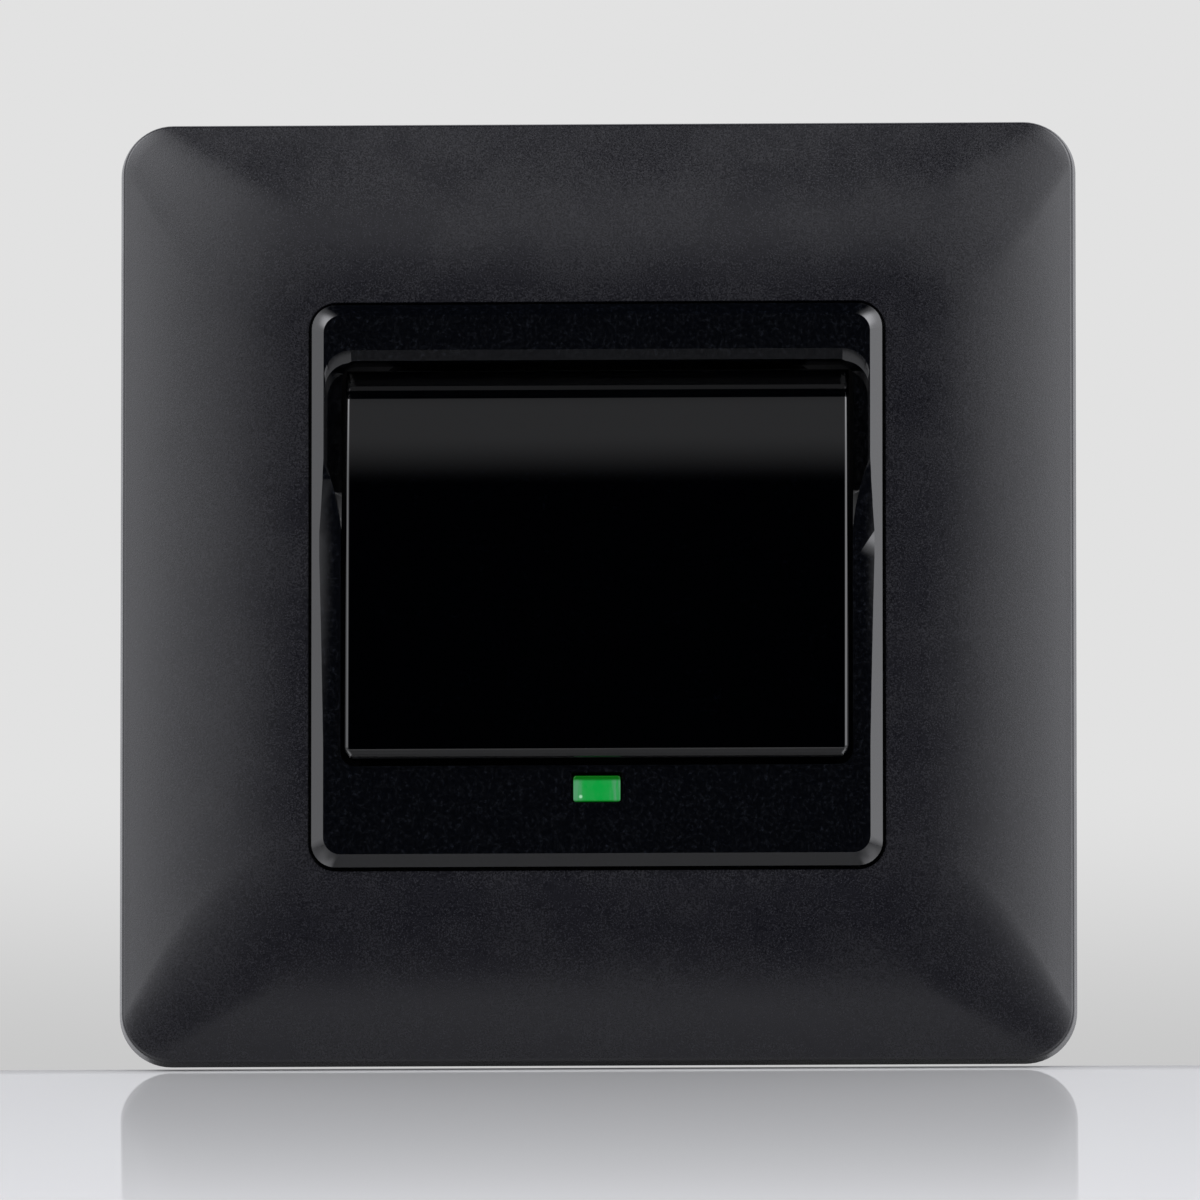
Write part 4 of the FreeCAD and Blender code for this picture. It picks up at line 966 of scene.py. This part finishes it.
def light_level(tree, settings, x, y, height):
    """Level from each direction: banks at the sides, a high band and a box, and a dark space between."""
    side = maths(tree, "ARCTAN2", x, maths(tree, "MULTIPLY", y, -1.0))
    off_axis = maths(tree, "ABSOLUTE", side)

    def rise(value, low, high, to_low=0.0, to_high=1.0):
        return remap(tree, value, math.radians(low), math.radians(high), to_low, to_high)

    def fall(value, low, high):
        return rise(value, low, high, 1.0, 0.0)

    def product(*factors):
        return maths(tree, "MULTIPLY", *factors)

    around = product(rise(off_axis, 20, 42), fall(height, 60, 70), settings.surround)
    behind = product(rise(off_axis, 95, 125), fall(height, 26, 42), settings.behind)
    below = product(fall(off_axis, 28, 44), fall(height, -34, -16), settings.surround)
    left_to_right = rise(side, -20, 20, settings.left_level, settings.right_level)
    bank = product(rise(off_axis, 27, 46), fall(off_axis, 78, 92), rise(height, -16, 15),
                   fall(height, 42, 60), left_to_right)
    raised = maths(tree, "SUBTRACT", height, rise(side, -20, 20, math.radians(7), 0.0))
    inner = rise(side, -20, 20, math.radians(4), math.radians(8))
    fan_in = remap(tree, maths(tree, "SUBTRACT", off_axis, inner), 0.0, math.radians(20))
    fan = product(fan_in, fall(off_axis, 50, 62), rise(raised, -22, 16), fall(height, 44, 62),
                  rise(side, -20, 20, settings.left_fan, settings.right_fan))
    corner = product(rise(off_axis, 9, 24), fall(off_axis, 56, 74), rise(height, 16, 32),
                     fall(height, 44, 60), rise(side, -20, 20, settings.left_corner, settings.right_corner))
    band = product(rise(height, 38, 52), fall(height, 60, 70), rise(off_axis, 6, 14), fall(off_axis, 28, 44),
                   settings.band_level * 0.3)
    strip = product(rise(height, 41, 44), fall(height, 54, 62), fall(off_axis, 6, 14),
                    settings.band_level * 0.5)
    box = product(fall(off_axis, 8, 20), rise(height, 16.5, 25.5), fall(height, 30, 36), settings.box_level)
    overhead = product(remap(tree, y, -0.05, 0.15), rise(height, 25, 50), settings.overhead)
    return maths(tree, "ADD", around, behind, below, bank, fan, corner, band, strip, box, overhead)


def studio_light(settings):
    """World that lights the switch with the studio's banks, and shows the camera a pale backdrop with painted
    shade at the horizon.
    """
    world = bpy.data.worlds.new("studio")
    bpy.context.scene.world = world
    world.use_nodes = True
    tree = world.node_tree
    tree.nodes.clear()
    way = add(tree, "ShaderNodeSeparateXYZ", {"Vector": add(tree, "ShaderNodeTexCoord").outputs["Generated"]})
    x, y, z = (way.outputs[axis] for axis in "XYZ")
    height = maths(tree, "ARCSINE", z)
    light = light_level(tree, settings, x, y, height)
    # Painted shade: the backdrop that the camera sees is darker at and below the horizon.
    backdrop = remap(tree, height, math.radians(settings.horizon_low), math.radians(settings.horizon_high),
                     settings.horizon, settings.background)
    path = add(tree, "ShaderNodeLightPath")
    seen = add(tree, "ShaderNodeMix", {0: path.outputs["Is Camera Ray"], 2: light, 3: backdrop})
    tint = mix_colours(tree, path.outputs["Is Camera Ray"], settings.light_tint, grey(1.0))
    shader = add(tree, "ShaderNodeBackground", {"Color": tint, "Strength": seen.outputs[0]})
    output = add(tree, "ShaderNodeOutputWorld")
    tree.links.new(shader.outputs[0], output.inputs["Surface"])


def lay_floor(settings):
    """Pale floor that starts under the frame's lower edge and reaches past the viewer."""
    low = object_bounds()[0]
    mesh = bpy.data.meshes.new("floor")
    bm = bmesh.new()
    bmesh.ops.create_grid(bm, x_segments=2, y_segments=2, size=settings.floor_reach)
    tilt = Matrix.Rotation(settings.floor_tilt, 4, "X")
    shift = Matrix.Translation(Vector((0.0, 0.001, low.z - 0.02 * MM)))
    bmesh.ops.translate(bm, verts=bm.verts, vec=(0.0, -settings.floor_reach, 0.0))
    bmesh.ops.transform(bm, matrix=shift @ tilt, verts=bm.verts)
    bm.to_mesh(mesh)
    bm.free()
    floor = bpy.data.objects.new("floor", mesh)
    bpy.context.scene.collection.objects.link(floor)
    mesh.materials.append(floor_material(settings))
    floor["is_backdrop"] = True


def floor_material(settings):
    """Pale matt floor, with painted shade darker towards the switch and a painted contact shadow at its edge,
    under a gloss that fades towards the viewer and towards the switch's edge.
    """
    material, tree, shader = start_material("floor_pale_gloss")
    place = add(tree, "ShaderNodeTexCoord").outputs["Object"]
    near = maths(tree, "MULTIPLY", add(tree, "ShaderNodeSeparateXYZ", {"Vector": place}).outputs["Y"], -1.0)
    share = remap(tree, near, 0.0, settings.gloss_length, curve="LINEAR")
    # Painted contact shadow: the floor's tone is a tenth darker in a strip at the switch's edge.
    painted_contact_shadow = remap(tree, near, 0.0, settings.contact_length, settings.floor_far * 0.9, settings.floor_far)
    # Painted shading: the floor's tone rises from darker at the switch to paler towards the viewer.
    painted_shading_ramp = maths(tree, "MULTIPLY", share, settings.floor_near - settings.floor_far)
    tone = maths(tree, "ADD", painted_contact_shadow, painted_shading_ramp)
    bounced = remap(tree, near, 0.2, 1.2, settings.bounce_near, settings.bounce_far)
    seen = add(tree, "ShaderNodeLightPath").outputs["Is Camera Ray"]
    tone = maths(tree, "MULTIPLY", tone, add(tree, "ShaderNodeMix", {0: seen, 2: bounced, 3: 1.0}).outputs[0])
    pale = add(tree, "ShaderNodeCombineColor", {"Red": tone, "Green": tone, "Blue": tone}).outputs["Color"]
    faded = maths(tree, "MULTIPLY", share, share, settings.gloss_near - settings.gloss_far)
    dulled = remap(tree, near, 0.0, settings.contact_length)
    gloss = maths(tree, "MULTIPLY", maths(tree, "ADD", settings.gloss_far, faded), dulled)
    matt = add(tree, "ShaderNodeBsdfDiffuse", {"Color": pale})
    mirror = add(tree, "ShaderNodeBsdfGlossy", {"Color": grey(1.0), "Roughness": 0.03})
    both = add(tree, "ShaderNodeMixShader", {0: gloss, 1: matt.outputs[0], 2: mirror.outputs[0]})
    output = tree.nodes["Material Output"]
    tree.links.new(both.outputs[0], output.inputs["Surface"])
    tree.nodes.remove(shader)
    return material


class SWITCH_OT_stage(bpy.types.Operator):
    """Set the camera, the studio light and the floor"""
    bl_idname = "switch.stage"
    bl_label = "Stage"

    def execute(self, context):
        settings = context.scene.switch_studio
        place_camera(settings)
        studio_light(settings)
        lay_floor(settings)
        context.scene.view_settings.view_transform = "Standard"
        return {"FINISHED"}


class SWITCH_OT_frame(bpy.types.Operator):
    """Model and finish the outer frame"""
    bl_idname = "switch.frame"
    bl_label = "Outer frame"

    def execute(self, context):
        settings = context.scene.switch_frame
        dress(build_frame(settings), textured_frame(settings), "outer_frame", "base")
        return {"FINISHED"}


class SWITCH_OT_plate(bpy.types.Operator):
    """Model and finish the centre plate"""
    bl_idname = "switch.plate"
    bl_label = "Centre plate"

    def execute(self, context):
        scene = context.scene
        finish = scene.switch_gloss
        gloss = gloss_black("plate_gloss_black", finish, finish.plate_dust, finish.plate_blur)
        plate = build_plate(scene.switch_plate, scene.switch_paddle)
        dress(plate, gloss, "centre_plate", "base")
        return {"FINISHED"}


class SWITCH_OT_paddle(bpy.types.Operator):
    """Model and finish the paddle"""
    bl_idname = "switch.paddle"
    bl_label = "Paddle"

    def execute(self, context):
        scene = context.scene
        finish = scene.switch_gloss
        gloss = gloss_black("paddle_gloss_black", finish, finish.paddle_dust, finish.paddle_blur)
        dress(build_paddle(scene.switch_paddle), gloss, "rocker_paddle", "paddle")
        return {"FINISHED"}


class SWITCH_OT_window(bpy.types.Operator):
    """Model and finish the lit status window, and finish what lights it"""
    bl_idname = "switch.window"
    bl_label = "Status window"

    def execute(self, context):
        scene = context.scene
        lens = build_window(scene.switch_window, scene.switch_plate)
        dress(lens, green_window(scene.switch_window), "indicator_lens", "base")
        give("light_pipe", clear_plastic())
        give("status_led", moulded_plastic("lamp_body", (0.75, 0.8, 0.7, 1.0), 0.35))
        return {"FINISHED"}


class SWITCH_OT_module(bpy.types.Operator):
    """Finish the support plate and the housing"""
    bl_idname = "switch.module"
    bl_label = "Module"

    def execute(self, context):
        give("support_plate", worked_metal("zinc_plated_steel", (0.55, 0.57, 0.58, 1.0), 0.36, spangle=0.35))
        give("mechanism_cover", moulded_plastic("cover_black_plastic", (0.006, 0.006, 0.0065, 1.0), 0.8))
        give("rear_housing", moulded_plastic("housing_dark_plastic", (0.03, 0.03, 0.032, 1.0), 0.5))
        give("housing_screws", worked_metal("screw_steel", (0.5, 0.5, 0.52, 1.0), 0.3))
        return {"FINISHED"}


class SWITCH_OT_mechanism(bpy.types.Operator):
    """Finish the rocker's works and the changeover contact"""
    bl_idname = "switch.mechanism"
    bl_label = "Mechanism"

    def execute(self, context):
        give("rocker_carrier", moulded_plastic("carrier_ivory_plastic", (0.62, 0.6, 0.54, 1.0), 0.42))
        give("plunger", moulded_plastic("plunger_white_plastic", (0.75, 0.75, 0.73, 1.0), 0.32))
        give("pivot_axle", worked_metal("axle_steel", (0.6, 0.6, 0.61, 1.0), 0.2, stretch=(0.2, 1, 1)))
        brass = worked_metal("contact_brass", (0.72, 0.5, 0.2, 1.0), 0.28, stretch=(1, 1, 0.2))
        for name in ("contact_seesaw", "common_contact", "upper_contact", "lower_contact"):
            give(name, brass)
        silver = worked_metal("silver_tips", (0.82, 0.81, 0.78, 1.0), 0.22)
        give("moving_tips", silver)
        give("fixed_tips", silver)
        return {"FINISHED"}


class SWITCH_OT_spring(bpy.types.Operator):
    """Model and finish the plunger's coil spring"""
    bl_idname = "switch.spring"
    bl_label = "Plunger spring"

    def execute(self, context):
        settings = context.scene.switch_spring
        coil = build_spring(settings)
        dress(coil, worked_metal("spring_steel", (0.5, 0.5, 0.5, 1.0), 0.26), "plunger_spring", "paddle")
        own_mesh(coil)
        return {"FINISHED"}


class SWITCH_OT_electronics(bpy.types.Operator):
    """Finish the circuit board and what stands on it"""
    bl_idname = "switch.electronics"
    bl_label = "Electronics"

    def execute(self, context):
        give("main_board", board_laminate("board_green", (0.01, 0.12, 0.035, 1.0), (0.05, 0.24, 0.07, 1.0)))
        give("radio_module",
             board_laminate("radio_board_blue", (0.006, 0.03, 0.12, 1.0), (0.03, 0.09, 0.25, 1.0)))
        give("relay", moulded_plastic("relay_blue_case", (0.01, 0.06, 0.28, 1.0), 0.3))
        give("power_transformer", taped_winding())
        give("smoothing_capacitors", moulded_plastic("capacitor_sleeve", (0.012, 0.014, 0.02, 1.0), 0.25))
        give("radio_shield", worked_metal("tinned_shield", (0.72, 0.72, 0.7, 1.0), 0.3))
        give("fuse", moulded_plastic("fuse_ceramic", (0.7, 0.66, 0.55, 1.0), 0.3))
        give("varistor", moulded_plastic("varistor_blue_coat", (0.02, 0.13, 0.4, 1.0), 0.38))
        return {"FINISHED"}


class SWITCH_OT_terminals(bpy.types.Operator):
    """Finish the wire terminals"""
    bl_idname = "switch.terminals"
    bl_label = "Terminals"

    def execute(self, context):
        give("terminal_clamps", worked_metal("terminal_brass", (0.7, 0.52, 0.26, 1.0), 0.34))
        give("terminal_screws", worked_metal("terminal_screw_steel", (0.62, 0.6, 0.5, 1.0), 0.3))
        give("terminal_pads", worked_metal("terminal_pad_steel", (0.55, 0.55, 0.54, 1.0), 0.36))
        return {"FINISHED"}


class SWITCH_PT_panel(bpy.types.Panel):
    bl_label = "Wall switch"
    bl_idname = "SWITCH_PT_panel"
    bl_space_type = "VIEW_3D"
    bl_region_type = "UI"
    bl_category = "Switch"

    def draw(self, context):
        column = self.layout.column()
        for operator in OPERATORS:
            column.operator(operator.bl_idname)


SETTINGS = {
    "switch_frame": FrameSettings,
    "switch_plate": PlateSettings,
    "switch_paddle": PaddleSettings,
    "switch_spring": SpringSettings,
    "switch_gloss": GlossSettings,
    "switch_window": WindowSettings,
    "switch_studio": StudioSettings,
}
OPERATORS = [
    SWITCH_OT_frame,
    SWITCH_OT_plate,
    SWITCH_OT_paddle,
    SWITCH_OT_window,
    SWITCH_OT_module,
    SWITCH_OT_mechanism,
    SWITCH_OT_spring,
    SWITCH_OT_electronics,
    SWITCH_OT_terminals,
    SWITCH_OT_stage,
]


def register():
    for group in SETTINGS.values():
        bpy.utils.register_class(group)
    for cls in OPERATORS + [SWITCH_PT_panel]:
        bpy.utils.register_class(cls)
    for name, group in SETTINGS.items():
        setattr(bpy.types.Scene, name, bpy.props.PointerProperty(type=group))


def unregister():
    for name in SETTINGS:
        delattr(bpy.types.Scene, name)
    for cls in [SWITCH_PT_panel] + OPERATORS[::-1]:
        bpy.utils.unregister_class(cls)
    for group in SETTINGS.values():
        bpy.utils.unregister_class(group)


def main():
    register()
    bpy.ops.switch.frame()
    bpy.ops.switch.plate()
    bpy.ops.switch.paddle()
    bpy.ops.switch.window()
    bpy.ops.switch.module()
    bpy.ops.switch.mechanism()
    bpy.ops.switch.spring()
    bpy.ops.switch.electronics()
    bpy.ops.switch.terminals()
    bpy.ops.switch.stage()


if __name__ == "__main__":
    main()
